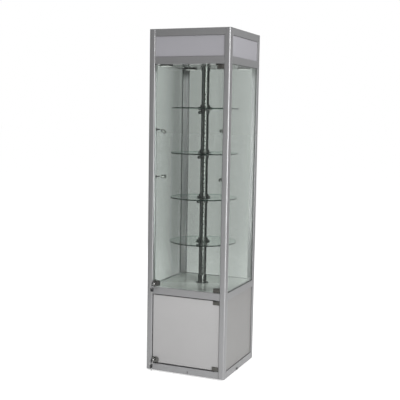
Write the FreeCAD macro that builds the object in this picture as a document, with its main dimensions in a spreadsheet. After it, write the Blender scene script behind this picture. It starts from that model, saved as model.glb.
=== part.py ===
import FreeCAD, Part

# Revolving glass display cabinet: an aluminium profile tower with a glazed display
# compartment over a cupboard.  A motor under the deck turns a perforated column that
# carries four round glass shelves.  Both doors swing on pivots at their right edge.
#
# Frame: X to the right, Y to the back, Z up; origin on the floor under the centre.
# Every driving dimension is a cell of the "Sizes" sheet, in millimetres and degrees.
# Round pieces are many-sided prisms, so that the whole part stays light to mesh.  The
# radius of a solid lies on its corners and the radius of a bore on its sides, so a
# shaft turns in its bore with the clearance that the sheet gives.

import math
import os
import re

import Sketcher
from FreeCAD import Placement, Rotation, Vector

doc = FreeCAD.newDocument("RevolvingDisplayCabinet")

# --------------------------------------------------------------------------- sizes

DIMENSIONS = (
    # frame
    ("CabinetWidth", 500, "outside width of the frame"),
    ("CabinetDepth", 500, "outside depth of the frame"),
    ("FootGap", 10, "floor to the underside of the frame"),
    ("CupboardHeight", 421, "clear height between base rail and middle rail"),
    ("DisplayHeight", 1301, "clear height between middle rail and header rail"),
    ("HeaderHeight", 118, "clear height between header rail and top rail"),
    ("PostWidth", 36, "side of the corner post section"),
    ("PostCornerRadius", 10, "rounding of the post's outer corner"),
    ("ProfileWall", 2, "wall of the posts and rails"),
    ("RailHeight", 40, "height of a rail section"),
    ("RailDepth", 24, "depth of a rail section"),
    ("LipWidth", 10, "board ledge, out from the rail"),
    ("LipThickness", 3, "board ledge thickness"),
    ("ConnectorLength", 25, "length of a rail connector block"),
    ("ConnectorClearance", 0.2, "connector block to the chamber wall"),
    # boards and panels
    ("BoardThickness", 12, "deck, floor, ceiling and roof boards"),
    ("BoardClearance", 0.3, "board edge to rail and post"),
    ("PanelThickness", 5, "glass, door and infill panels"),
    ("PanelInset", 6, "frame face to panel face"),
    ("GrooveClearance", 0.5, "panel face to groove wall"),
    ("GrooveDepth", 8, "depth of a glazing groove"),
    ("PanelEngagement", 7, "how far a panel edge sits in its groove"),
    # door pivots
    ("DoorLockGap", 5, "door edge to the left post"),
    ("DoorHingeGap", 3, "door edge to the right post"),
    ("PivotSetback", 11, "pivot axis in from the door's hinge edge"),
    ("PivotPinRadius", 2.5, "pivot pin"),
    ("PivotPlateThickness", 2.2, "pivot plate on the rail"),
    ("PivotPlateLength", 24, "pivot plate along the rail"),
    ("PivotPlateWidth", 12, "pivot plate across the rail"),
    ("PivotPinShort", 0.5, "pin end below the inside of the clamp web"),
    ("ThrustGap", 0.3, "gap at a bearing face that turns"),
    ("RunningClearance", 0.05, "radial clearance of a turning fit"),
    ("ClampWeb", 4, "clamp material under the door edge"),
    ("ClampLength", 39, "clamp along the door edge"),
    ("ClampHeight", 26, "clamp up the door"),
    ("ClampThickness", 13, "clamp across the door"),
    # door locks
    ("LockSetback", 7, "plug axis in from the door's lock edge"),
    ("LockRise", 15, "plug axis up from the door's bottom edge"),
    ("LockCaseLength", 40, "lock case, left to right"),
    ("LockCaseHeight", 32, "lock case, bottom to top"),
    ("LockCaseOverhang", 9, "lock case beyond the plug axis, to the left"),
    ("LockCaseDrop", 14, "lock case below the plug axis"),
    ("LockCaseFront", 9, "lock case in front of the door"),
    ("LockCaseRear", 6, "lock case behind the door"),
    ("LockCaseCorner", 6, "bevel of the lock case's inner corners"),
    ("LockPlugRadius", 6, "plug that the key turns"),
    ("NotchLength", 16, "lock notch in the door edge"),
    ("NotchHeight", 18, "height of the lock notch"),
    ("NotchClearance", 0.5, "lock body to the notch"),
    ("CamLength", 22, "locking cam from the plug axis to its tip"),
    ("CamWidth", 10, "width of the locking cam"),
    ("CamThickness", 2, "thickness of the locking cam"),
    ("CamSlotClearance", 1.2, "cam to the edge of its slot in the post"),
    # keys
    ("KeyNeckRadius", 3.2, "round neck between plug and key head"),
    ("KeyNeckLength", 5, "length of that neck"),
    ("KeyHeadLength", 24, "key head along the key"),
    ("KeyHeadWidth", 21, "key head across the key"),
    ("KeyHeadThickness", 2, "thickness of a key head"),
    ("KeyHeadCorner", 6, "bevel of a key head's corners"),
    ("KeyHoleRadius", 3, "ring hole in a key head"),
    ("KeyHoleSetback", 5.5, "ring hole in from the end of a key head"),
    ("KeyBladeLength", 18, "spare key blade"),
    ("KeyBladeWidth", 7, "width of a key blade"),
    ("KeyRingRadius", 12, "outside radius of the key ring"),
    ("KeyRingWire", 1.2, "key ring wire, radially and along its axis"),
    # column and drive
    ("ColumnRadius", 23, "outside of the column tube"),
    ("ColumnWall", 2, "wall of the column tube"),
    ("ColumnTopGap", 6, "column top to the inside of the top bearing"),
    ("HoleRadius", 3.5, "holes in the column"),
    ("HolePitch", 25, "spacing of the holes along the column"),
    ("HoleRowTurn", 60, "angle from row to row of holes"),
    ("HoleMargin", 15, "least distance from a hole to the column's lower end"),
    ("PlainTop", 150, "top of the column without holes"),
    ("ShaftRadius", 6, "drive shaft"),
    ("ShaftDepth", 20, "drive shaft inside the gear motor"),
    ("MotorFlangeWidth", 80, "square mounting flange of the gear motor"),
    ("MotorFlangeThickness", 3, "thickness of that flange"),
    ("GearboxRadius", 32, "gearbox"),
    ("GearboxHeight", 30, "height of the gearbox"),
    ("MotorRadius", 26, "motor can"),
    ("MotorHeight", 36, "height of the motor can"),
    ("BushRadius", 14, "bush in the deck"),
    ("BushFlangeRadius", 28, "thrust flange of the bush"),
    ("BushFlangeThickness", 2, "thickness of the thrust flange"),
    ("SocketFlangeRadius", 38, "foot flange of the column socket"),
    ("SocketFlangeThickness", 3, "thickness of the foot flange"),
    ("SocketRadius", 26, "outside of the column socket"),
    ("SocketHeight", 48, "height of the column socket"),
    ("SocketFloor", 8, "column end above the socket's underside"),
    ("TopCupRadius", 31, "flange of the top bearing"),
    ("TopCupWall", 3, "wall of the top bearing"),
    ("TopCupHeight", 28, "height of the top bearing"),
    ("TopCupFloor", 4, "closed end of the top bearing"),
    # shelves
    ("ShelfRadius", 200, "glass shelf"),
    ("ShelfThickness", 6, "thickness of a glass shelf"),
    ("TopShelfDrop", 250, "ceiling to the underside of the top shelf"),
    ("ShelfSpacing", 266, "from shelf to shelf"),
    ("CollarNeckRadius", 26, "collar neck through the glass"),
    ("CollarHubRadius", 27, "collar hub under the shelf"),
    ("CollarFlangeRadius", 44, "collar flange under the glass"),
    ("CollarFlangeThickness", 3, "thickness of that flange"),
    ("CollarHeight", 28, "collar below the glass"),
    ("CollarStepRadius", 35, "step between hub and flange"),
    ("CollarStepHeight", 6, "height of that step"),
    ("GlassHoleClearance", 1, "collar neck to the glass"),
    ("ClampRingRadius", 40, "clamp ring on the glass"),
    ("ClampRingHeight", 18, "height of the clamp ring"),
    ("ClampRingTop", 30, "radius of the clamp ring's upper step"),
    ("NeckShort", 4, "collar neck end below the clamp ring's top"),
    ("ScrewRadius", 2.5, "thumb screw shank"),
    ("ScrewDrop", 20, "thumb screw axis below the glass"),
    ("ScrewReach", 38, "column axis to the thumb screw's knob"),
    ("ScrewTipGap", 0.3, "thumb screw tip to the column"),
    ("KnobRadius", 7, "thumb screw knob"),
    ("KnobLength", 9, "length of the knob"),
    ("ScrewAngle", -127.5, "direction of the thumb screws, from +X"),
    # lighting
    ("SpotBaseLeg", 14, "leg of the spotlight's corner bracket"),
    ("SpotBaseWall", 2, "wall of the corner bracket"),
    ("SpotBaseHeight", 16, "height of the corner bracket"),
    ("SpotStemRadius", 3.5, "spotlight stem"),
    ("SpotPivotReach", 24, "post corner to the spotlight's tilt axis"),
    ("SpotKnuckleRadius", 4.5, "knuckle of the tilt joint"),
    ("SpotKnuckleWidth", 3, "tongue of the tilt joint"),
    ("SpotEarWidth", 2.5, "each ear of the tilt joint"),
    ("SpotEarGap", 0.2, "tongue to ear"),
    ("SpotPinRadius", 1.5, "pin of the tilt joint"),
    ("SpotHeadOffset", 5.5, "tilt axis to the back of the head"),
    ("SpotHeadRadius", 10.5, "spotlight head"),
    ("SpotHeadLength", 30, "length of the head"),
    ("SpotHeadBore", 8.5, "opening of the head"),
    ("SpotHeadBoreDepth", 8, "depth of that opening"),
    ("SpotUpperHeight", 927, "upper spotlights above the deck"),
    ("SpotLowerHeight", 652, "lower spotlights above the deck"),
    ("PuckRadius", 38, "ceiling light"),
    ("PuckThickness", 8, "height of a ceiling light's housing"),
    ("LensRadius", 34, "lens of a ceiling light"),
    ("LensThickness", 2, "thickness of the lens"),
    ("PuckInset", 75, "ceiling light centre to the frame face"),
    ("DriverLength", 140, "lighting power supply"),
    ("DriverWidth", 50, "width of the power supply"),
    ("DriverHeight", 25, "height of the power supply"),
    ("DriverSetback", 100, "power supply behind the centre"),
    # base
    ("FootInset", 60, "foot axis to the frame face"),
    ("FootRadius", 17, "pad of a levelling foot"),
    ("FootPadHeight", 7, "height of the pad"),
    ("FootStudRadius", 4, "stud of a levelling foot"),
    ("FootPlateRadius", 14, "insert plate under the floor board"),
    ("FootPlateThickness", 3, "thickness of the insert plate"),
    ("InletRadius", 7, "rim of the power inlet"),
    ("InletFlange", 4, "height of that rim"),
    ("InletShankRadius", 4.8, "shank of the power inlet"),
    ("InletBore", 3, "mouth of the inlet's contact"),
    ("InletBoreDepth", 2, "depth of that mouth"),
    ("InletRise", 7.5, "power inlet above the frame's underside"),
    ("InletForward", 36, "power inlet in front of the centre"),
    ("InletClearance", 0.2, "inlet shank to the rail"),
)

sheet = doc.addObject("Spreadsheet::Sheet", "Sizes")
for row, (alias, number, note) in enumerate(DIMENSIONS, start=1):
    sheet.set(f"A{row}", note)
    sheet.set(f"B{row}", str(number))
    sheet.setAlias(f"B{row}", alias)
doc.recompute()


def bound(expression):
    """The expression with every alias, a capitalised word, read from the sheet."""
    return re.sub(r"\b[A-Z]\w+", lambda word: "Sizes." + word.group(0), str(expression))


def size(expression):
    """The number that an expression of aliases gives now."""
    return float(sheet.evalExpression(bound(expression)))


# Levels above the floor, and the places that several pieces share.
FRAME_BOTTOM = "FootGap"
FLOOR_TOP = "(FootGap + RailHeight)"
MIDDLE_RAIL = "(FootGap + RailHeight + CupboardHeight)"
DECK_TOP = "(FootGap + 2 * RailHeight + CupboardHeight)"
DECK_UNDERSIDE = f"({DECK_TOP} - BoardThickness)"
HEADER_RAIL = f"({DECK_TOP} + DisplayHeight)"
HEADER_PANEL = f"({HEADER_RAIL} + RailHeight)"
TOP_RAIL = f"({HEADER_PANEL} + HeaderHeight)"
FRAME_TOP = f"({TOP_RAIL} + RailHeight)"
HALF_WIDTH = "(CabinetWidth / 2)"
HALF_DEPTH = "(CabinetDepth / 2)"
GROOVE_NEAR = "(PanelInset - GrooveClearance)"
GROOVE_FAR = "(PanelInset + PanelThickness + GrooveClearance)"
DOOR_END_GAP = "(ClampWeb + ThrustGap + PivotPlateThickness)"
DOOR_LEFT = f"(-{HALF_WIDTH} + PostWidth + DoorLockGap)"
DOOR_RIGHT = f"({HALF_WIDTH} - PostWidth - DoorHingeGap)"
DOOR_MIDDLE = f"(-{HALF_DEPTH} + PanelInset + PanelThickness / 2)"
PIVOT_X = f"({DOOR_RIGHT} - PivotSetback)"
LOCK_X = f"({DOOR_LEFT} + LockSetback)"
CASE_FRONT = "(PanelThickness / 2 + LockCaseFront)"
CASE_REAR = "(PanelThickness / 2 + LockCaseRear)"
KEY_HEAD_START = f"({CASE_FRONT} + ThrustGap + CamThickness + KeyNeckLength)"
KEY_HOLE_REACH = f"({KEY_HEAD_START} + KeyHeadLength - KeyHoleSetback)"
SHAFT_BORE = "(ShaftRadius + RunningClearance)"
SOCKET_UNDERSIDE = f"({DECK_TOP} + BushFlangeThickness + ThrustGap)"
COLUMN_BOTTOM = f"({SOCKET_UNDERSIDE} + SocketFloor)"
COLUMN_TOP = f"({HEADER_RAIL} - TopCupFloor - ColumnTopGap)"

# --------------------------------------------------------------------------- tools

nodes = {}
AXES = ("x", "y", "z")
TRUE_ROUND = 0
COARSE = 8
SMALL = 12
ROUND = 18
SMOOTH = 24
SHELF_SIDES = 44
UPSIDE_DOWN = Rotation(Vector(1, 0, 0), 180)
FACING_FRONT = Rotation(Vector(1, 0, 0), 90)


def turned(angle):
    """Rotation about the vertical axis, in degrees."""
    return Rotation(Vector(0, 0, 1), angle)


def place(thing, position, rotation=None):
    """Turn an object and bind its position to three expressions."""
    thing.Placement = Placement(Vector(), rotation or Rotation())
    for axis, expression in zip(AXES, position):
        thing.setExpression(f".Placement.Base.{axis}", bound(expression))
    return thing


def body(name, position=(0, 0, 0), rotation=None):
    """An empty body at a bound position."""
    return place(doc.addObject("PartDesign::Body", name), position, rotation)


def origin_plane(owner, role):
    """One of a body's own origin planes."""
    return next(item for item in owner.Origin.OriginFeatures if item.Role == role)


def regular(radius, sides=ROUND, x=0, y=0, around=False):
    """A regular polygon for sketch(), with a side square to -Y and its corners on the radius.

    Where around is true, the polygon's sides touch the radius instead of its corners.
    """
    scale = 1 / math.cos(math.pi / sides) if around else 1
    corners = []
    for number in range(sides):
        angle = math.pi * (2 * number + 1) / sides - math.pi / 2
        along = f"{x} + {scale * math.cos(angle):.7f} * ({radius})"
        up = f"{y} + {scale * math.sin(angle):.7f} * ({radius})"
        corners.append((along, up))
    return corners


def circle(radius, x=0, y=0):
    """A true circle for sketch()."""
    return (radius, x, y)


def round_loop(radius, sides, around=False):
    """A centred loop for sketch(): a true circle for TRUE_ROUND, else a regular polygon."""
    if sides == TRUE_ROUND:
        return circle(radius)
    return regular(radius, sides, around=around)


def rectangle(left, bottom, right, top):
    """A rectangle's corners for sketch()."""
    return [(left, bottom), (right, bottom), (right, top), (left, top)]


def bevelled(left, bottom, right, top, bevel):
    """A rectangle with all four corners cut off, for sketch()."""
    return [
        (f"{left} + {bevel}", bottom),
        (f"{right} - {bevel}", bottom),
        (right, f"{bottom} + {bevel}"),
        (right, f"{top} - {bevel}"),
        (f"{right} - {bevel}", top),
        (f"{left} + {bevel}", top),
        (left, f"{top} - {bevel}"),
        (left, f"{bottom} + {bevel}"),
    ]


def sketch(owner, loops, plane="XY_Plane", offset=0):
    """Closed loops of bound corners, or circles, on an origin plane of the owner."""
    drawing = owner.newObject("Sketcher::SketchObject", f"{owner.Name}_Sketch")
    drawing.AttachmentSupport = [(origin_plane(owner, plane), "")]
    drawing.MapMode = "FlatFace"
    drawing.setExpression(".AttachmentOffset.Base.z", bound(offset))
    segments = []
    constraints = []
    expressions = {}
    for loop in loops:
        first = len(segments)
        if isinstance(loop, tuple):
            radius, x, y = loop
            centre = Vector(size(x), size(y), 0)
            segments.append(Part.Circle(centre, Vector(0, 0, 1), size(radius)))
            for kind, expression in (("DistanceX", x), ("DistanceY", y)):
                expressions[len(constraints)] = bound(expression)
                point = (-1, 1, first, 3, size(expression))
                constraints.append(Sketcher.Constraint(kind, *point))
            expressions[len(constraints)] = bound(radius)
            constraints.append(Sketcher.Constraint("Radius", first, size(radius)))
            continue
        corners = [Vector(size(x), size(y), 0) for x, y in loop]
        for number, (x, y) in enumerate(loop):
            following = (number + 1) % len(loop)
            segments.append(Part.LineSegment(corners[number], corners[following]))
            joint = (first + number, 2, first + following, 1)
            constraints.append(Sketcher.Constraint("Coincident", *joint))
            for kind, expression in (("DistanceX", x), ("DistanceY", y)):
                expressions[len(constraints)] = bound(expression)
                point = (-1, 1, first + number, 1, size(expression))
                constraints.append(Sketcher.Constraint(kind, *point))
    drawing.addGeometry(segments)
    drawing.addConstraint(constraints)
    for index, expression in expressions.items():
        drawing.setExpression(f"Constraints[{index}]", expression)
    return drawing


def extrude(owner, kind, drawing, length, reverse=False):
    """A Pad or Pocket of bound length."""
    feature = owner.newObject(f"PartDesign::{kind}", f"{owner.Name}_{kind}")
    feature.Profile = drawing
    feature.Length = size(length)
    feature.setExpression("Length", bound(length))
    feature.Reversed = reverse
    drawing.Visibility = False
    return feature


def pad(owner, loops, length, plane="XY_Plane", offset=0, reverse=False):
    """Add loops, extruded from a plane."""
    return extrude(owner, "Pad", sketch(owner, loops, plane, offset), length, reverse)


def cut(owner, loops, length, plane="XY_Plane", offset=0, reverse=False):
    """Cut loops into the owner, and make sure that material went."""
    doc.recompute()
    before = owner.Shape.Volume
    feature = extrude(owner, "Pocket", sketch(owner, loops, plane, offset), length, reverse)
    doc.recompute()
    if owner.Shape.Volume >= before:
        raise RuntimeError(f"{owner.Name}: a pocket cut nothing")
    return feature


def turned_piece(name, position, steps, hollows=(), rotation=None):
    """A body of coaxial steps and hollows, each (radius, low, high, sides)."""
    piece = body(name, position, rotation)
    for radius, low, high, sides in steps:
        pad(piece, [round_loop(radius, sides)], f"{high} - ({low})", offset=low)
    for radius, low, high, sides in hollows:
        hollow = round_loop(radius, sides, around=True)
        cut(piece, [hollow], f"{high} - ({low})", offset=low, reverse=True)
    return piece


def round_edges(owner, radius, *points):
    """Fillet the owner's edges that pass through the given local points."""
    doc.recompute()
    tip = owner.Tip
    names = []
    for point in points:
        place_on_edge = Part.Vertex(Vector(*[size(value) for value in point]))
        gaps = [edge.distToShape(place_on_edge)[0] for edge in tip.Shape.Edges]
        names.append(f"Edge{gaps.index(min(gaps)) + 1}")
    fillet = owner.newObject("PartDesign::Fillet", f"{owner.Name}_Fillet")
    fillet.Base = (tip, names)
    fillet.Radius = size(radius)
    fillet.setExpression("Radius", bound(radius))
    return fillet


def block(name, lengths, position, rotation=None):
    """A rectangular piece with bound side lengths and position."""
    box = doc.addObject("Part::Box", name)
    for side, expression in zip(("Length", "Width", "Height"), lengths):
        box.setExpression(side, bound(expression))
    return place(box, position, rotation)


def node(name, *members):
    """Register a sub-part: one object, or a group of separate solids."""
    if len(members) == 1:
        piece = members[0]
    else:
        piece = doc.addObject("Part::Compound", name)
        piece.Links = list(members)
    piece.Label = name
    nodes[name] = piece


# --------------------------------------------------------------------------- frame

POST_OUTLINE = [
    (0, 0),
    ("PostWidth", 0),
    ("PostWidth", GROOVE_NEAR),
    ("PostWidth - GrooveDepth", GROOVE_NEAR),
    ("PostWidth - GrooveDepth", GROOVE_FAR),
    ("PostWidth", GROOVE_FAR),
    ("PostWidth", "PostWidth"),
    (GROOVE_FAR, "PostWidth"),
    (GROOVE_FAR, "PostWidth - GrooveDepth"),
    (GROOVE_NEAR, "PostWidth - GrooveDepth"),
    (GROOVE_NEAR, "PostWidth"),
    (0, "PostWidth"),
]
BEHIND_GROOVE = "(PostWidth - GrooveDepth - ProfileWall)"
BESIDE_GROOVE = f"({GROOVE_FAR} + ProfileWall)"
POST_CHAMBER = [
    ("ProfileWall", "ProfileWall"),
    (BEHIND_GROOVE, "ProfileWall"),
    (BEHIND_GROOVE, BESIDE_GROOVE),
    ("PostWidth - ProfileWall", BESIDE_GROOVE),
    ("PostWidth - ProfileWall", "PostWidth - ProfileWall"),
    (BESIDE_GROOVE, "PostWidth - ProfileWall"),
    (BESIDE_GROOVE, BEHIND_GROOVE),
    ("ProfileWall", BEHIND_GROOVE),
]
POSTS = (
    # name, sign of x, sign of y, turn of the profile
    ("post_front_left", -1, -1, 0),
    ("post_front_right", 1, -1, 90),
    ("post_back_right", 1, 1, 180),
    ("post_back_left", -1, 1, 270),
)
FRAME_HEIGHT = f"({FRAME_TOP} - {FRAME_BOTTOM})"


def door_bottom(opening_bottom):
    """Bottom edge of the door in an opening."""
    return f"({opening_bottom} + {DOOR_END_GAP})"


def lock_height(opening_bottom):
    """Height of the lock axis of the door in an opening."""
    return f"({door_bottom(opening_bottom)} + LockRise)"


def make_posts():
    """Corner posts: hollow extrusions with a rounded corner and two glazing grooves."""
    for name, side, back, angle in POSTS:
        corner = (f"{side} * {HALF_WIDTH}", f"{back} * {HALF_DEPTH}", FRAME_BOTTOM)
        post = body(name, corner, turned(angle))
        pad(post, [POST_OUTLINE, POST_CHAMBER], FRAME_HEIGHT)
        round_edges(post, "PostCornerRadius", (0, 0, f"{FRAME_HEIGHT} / 2"))
        chamber_corner = ("ProfileWall", "ProfileWall", f"{FRAME_HEIGHT} / 2")
        round_edges(post, "PostCornerRadius - ProfileWall", chamber_corner)
        if name == "post_front_left":
            cut_cam_slots(post)
        node(name, post)


def cut_cam_slots(post):
    """Slots through the inner wall of the left post, where the two locking cams enter."""
    depth = f"(PanelInset + PanelThickness / 2 + {CASE_REAR} + ThrustGap)"
    near = f"{depth} - CamSlotClearance"
    far = f"{depth} + CamThickness + CamSlotClearance"
    for opening in (FLOOR_TOP, DECK_TOP):
        axis_height = f"({lock_height(opening)} - {FRAME_BOTTOM})"
        low = f"{axis_height} - CamWidth / 2 - CamSlotClearance"
        high = f"{axis_height} + CamLength + CamSlotClearance"
        wall = "ProfileWall + 1"
        cut(post, [rectangle(near, low, far, high)], wall, "YZ_Plane", "PostWidth")


def rail_outline(ledge_low, groove_below, groove_above):
    """Outer outline of a rail section: first value inwards, second value up.

    The board ledge lies one board thickness from the top edge, or from the bottom edge
    where ledge_low is true, so that the board ends flush with the rail.
    """
    if ledge_low:
        ledge = ("BoardThickness", "BoardThickness + LipThickness")
    else:
        ledge = ("RailHeight - BoardThickness - LipThickness", "RailHeight - BoardThickness")
    outline = [(0, 0)]
    if groove_below:
        outline += [
            (GROOVE_NEAR, 0),
            (GROOVE_NEAR, "GrooveDepth"),
            (GROOVE_FAR, "GrooveDepth"),
            (GROOVE_FAR, 0),
        ]
    outline += [
        ("RailDepth", 0),
        ("RailDepth", ledge[0]),
        ("RailDepth + LipWidth", ledge[0]),
        ("RailDepth + LipWidth", ledge[1]),
        ("RailDepth", ledge[1]),
        ("RailDepth", "RailHeight"),
    ]
    if groove_above:
        outline += [
            (GROOVE_FAR, "RailHeight"),
            (GROOVE_FAR, "RailHeight - GrooveDepth"),
            (GROOVE_NEAR, "RailHeight - GrooveDepth"),
            (GROOVE_NEAR, "RailHeight"),
        ]
    outline.append((0, "RailHeight"))
    return outline


RAIL_CHAMBER = [
    ("ProfileWall", "GrooveDepth + ProfileWall"),
    (BESIDE_GROOVE, "GrooveDepth + ProfileWall"),
    (BESIDE_GROOVE, "ProfileWall"),
    ("RailDepth - ProfileWall", "ProfileWall"),
    ("RailDepth - ProfileWall", "RailHeight - ProfileWall"),
    (BESIDE_GROOVE, "RailHeight - ProfileWall"),
    (BESIDE_GROOVE, "RailHeight - GrooveDepth - ProfileWall"),
    ("ProfileWall", "RailHeight - GrooveDepth - ProfileWall"),
]
FRONT_RUN = "(CabinetWidth - 2 * PostWidth)"
SIDE_RUN = "(CabinetDepth - 2 * PostWidth)"
RAIL_SIDES = (
    # side, run length, start of the run, turn of the section
    ("Front", FRONT_RUN, (f"-{FRONT_RUN} / 2", f"-{HALF_DEPTH}"), 0),
    ("Right", SIDE_RUN, (HALF_WIDTH, f"-{SIDE_RUN} / 2"), 90),
    ("Back", FRONT_RUN, (f"{FRONT_RUN} / 2", HALF_DEPTH), 180),
    ("Left", SIDE_RUN, (f"-{HALF_WIDTH}", f"{SIDE_RUN} / 2"), 270),
)
RAIL_RINGS = (
    # node, underside, ledge low, grooves below and above: at the front, at the other sides
    ("base_rails", FRAME_BOTTOM, False, (False, False), (False, True)),
    ("middle_rails", MIDDLE_RAIL, False, (False, False), (True, True)),
    ("header_rails", HEADER_RAIL, True, (False, True), (True, True)),
    ("top_rails", TOP_RAIL, False, (True, False), (True, False)),
)


def make_rails():
    """Four rings of four rails between the posts, and the blocks that join them."""
    connectors = []
    for ring, underside, ledge_low, front_grooves, other_grooves in RAIL_RINGS:
        rails = []
        for side, run, (x, y), angle in RAIL_SIDES:
            grooves = front_grooves if side == "Front" else other_grooves
            rail = body(f"{ring}_{side}", (x, y, underside), turned(angle))
            pad(rail, [rail_outline(ledge_low, *grooves), RAIL_CHAMBER], run, "YZ_Plane")
            if ring == "base_rails" and side == "Right":
                cut_inlet_hole(rail)
            rails.append(rail)
            connectors += make_connectors(f"{ring}_{side}", run, (x, y, underside), angle)
        node(ring, *rails)
    node("rail_connectors", *connectors)


def cut_inlet_hole(rail):
    """Hole for the power inlet through the right base rail, near its lower edge."""
    along = f"({SIDE_RUN} / 2 - InletForward)"
    hole = regular("InletShankRadius + InletClearance", SMALL, along, "InletRise", True)
    cut(rail, [hole], "RailDepth + 1", "XZ_Plane")


def make_connectors(rail_name, run, corner, angle):
    """Blocks in both ends of a rail's chamber, screwed to the posts."""
    inset = "ProfileWall + ConnectorClearance"
    lengths = (
        "ConnectorLength",
        f"RailDepth - ProfileWall - ConnectorClearance - ({BESIDE_GROOVE} + ConnectorClearance)",
        f"RailHeight - 2 * ({inset})",
    )
    pair = []
    for end, start in (("Start", "0"), ("End", f"{run} - ConnectorLength")):
        # local offset of the block from the rail's corner, turned with the rail
        offset = (start, f"{BESIDE_GROOVE} + ConnectorClearance")
        cosine = {0: 1, 90: 0, 180: -1, 270: 0}[angle]
        sine = {0: 0, 90: 1, 180: 0, 270: -1}[angle]
        x = f"{corner[0]} + {cosine} * ({offset[0]}) - {sine} * ({offset[1]})"
        y = f"{corner[1]} + {sine} * ({offset[0]}) + {cosine} * ({offset[1]})"
        z = f"{corner[2]} + {inset}"
        pair.append(block(f"Connector_{rail_name}_{end}", lengths, (x, y, z), turned(angle)))
    return pair


# --------------------------------------------------------------------------- boards


def board_outline():
    """Square board inside a rail ring, notched round the four posts."""
    edge_x = f"({HALF_WIDTH} - RailDepth - BoardClearance)"
    edge_y = f"({HALF_DEPTH} - RailDepth - BoardClearance)"
    notch_x = f"({HALF_WIDTH} - PostWidth - BoardClearance)"
    notch_y = f"({HALF_DEPTH} - PostWidth - BoardClearance)"
    return [
        (f"-{edge_x}", f"-{notch_y}"),
        (f"-{notch_x}", f"-{notch_y}"),
        (f"-{notch_x}", f"-{edge_y}"),
        (notch_x, f"-{edge_y}"),
        (notch_x, f"-{notch_y}"),
        (edge_x, f"-{notch_y}"),
        (edge_x, notch_y),
        (notch_x, notch_y),
        (notch_x, edge_y),
        (f"-{notch_x}", edge_y),
        (f"-{notch_x}", notch_y),
        (f"-{edge_x}", notch_y),
    ]


def make_boards():
    """Cupboard floor, deck, ceiling and roof, each lying against the rail ledges."""
    undersides = {
        "cupboard_floor": f"{FLOOR_TOP} - BoardThickness",
        "deck_board": DECK_UNDERSIDE,
        "ceiling_board": HEADER_RAIL,
        "roof_board": f"{FRAME_TOP} - BoardThickness",
    }
    for name, underside in undersides.items():
        board = body(name, (0, 0, underside))
        loops = [board_outline()]
        if name == "deck_board":
            loops.append(regular("BushRadius + RunningClearance", ROUND, 0, 0, True))
        pad(board, loops, "BoardThickness")
        node(name, board)


def infill(name, side, bottom, top):
    """A panel in the grooves between two posts and two rails."""
    low = f"{bottom} - PanelEngagement"
    height = f"{top} - ({bottom}) + 2 * PanelEngagement"
    if side in ("front", "back"):
        width = f"{FRONT_RUN} + 2 * PanelEngagement"
        x = f"-({width}) / 2"
        front = f"-{HALF_DEPTH} + PanelInset"
        back = f"{HALF_DEPTH} - PanelInset - PanelThickness"
        lengths = (width, "PanelThickness", height)
        position = (x, front if side == "front" else back, low)
    else:
        width = f"{SIDE_RUN} + 2 * PanelEngagement"
        left = f"-{HALF_WIDTH} + PanelInset"
        right = f"{HALF_WIDTH} - PanelInset - PanelThickness"
        lengths = ("PanelThickness", width, height)
        position = (left if side == "left" else right, f"-({width}) / 2", low)
    return block(name, lengths, position)


def make_infills():
    """Fixed glass, cupboard panels and header panels."""
    for side in ("left", "right", "back"):
        name = f"display_glass_{side}"
        node(name, infill(name, side, DECK_TOP, HEADER_RAIL))
        name = f"cupboard_panel_{side}"
        node(name, infill(name, side, FLOOR_TOP, MIDDLE_RAIL))
    for side in ("front", "back"):
        name = f"header_panel_{side}"
        node(name, infill(name, side, HEADER_PANEL, TOP_RAIL))
    sides = [infill(f"HeaderSide_{side}", side, HEADER_PANEL, TOP_RAIL) for side in ("left", "right")]
    node("header_panels_side", *sides)


# --------------------------------------------------------------------------- doors

DOORS = (
    # name, bottom and top of the opening, turn of the hanging key ring and of the spare key
    ("glass_door", DECK_TOP, HEADER_RAIL, 40, 85),
    ("cupboard_door", FLOOR_TOP, MIDDLE_RAIL, 0, -20),
)


def make_door(name, opening_bottom, opening_top):
    """Frameless door with a notch for the lock in its left edge."""
    low = "0"
    high = f"({opening_top} - ({opening_bottom}) - 2 * {DOOR_END_GAP})"
    width = f"({DOOR_RIGHT} - {DOOR_LEFT})"
    notch_low = "LockRise - NotchHeight / 2"
    notch_high = "LockRise + NotchHeight / 2"
    outline = [
        (0, low),
        (width, low),
        (width, high),
        (0, high),
        (0, notch_high),
        ("NotchLength", notch_high),
        ("NotchLength", notch_low),
        (0, notch_low),
    ]
    back_face = f"{DOOR_MIDDLE} + PanelThickness / 2"
    door = body(name, (DOOR_LEFT, back_face, door_bottom(opening_bottom)))
    pad(door, [outline], "PanelThickness", "XZ_Plane")
    node(name, door)


CLAMP_SECTION = [
    ("-ClampThickness / 2", 0),
    ("ClampThickness / 2", 0),
    ("ClampThickness / 2", "ClampHeight"),
    ("PanelThickness / 2", "ClampHeight"),
    ("PanelThickness / 2", "ClampWeb"),
    ("-PanelThickness / 2", "ClampWeb"),
    ("-PanelThickness / 2", "ClampHeight"),
    ("-ClampThickness / 2", "ClampHeight"),
]


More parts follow.
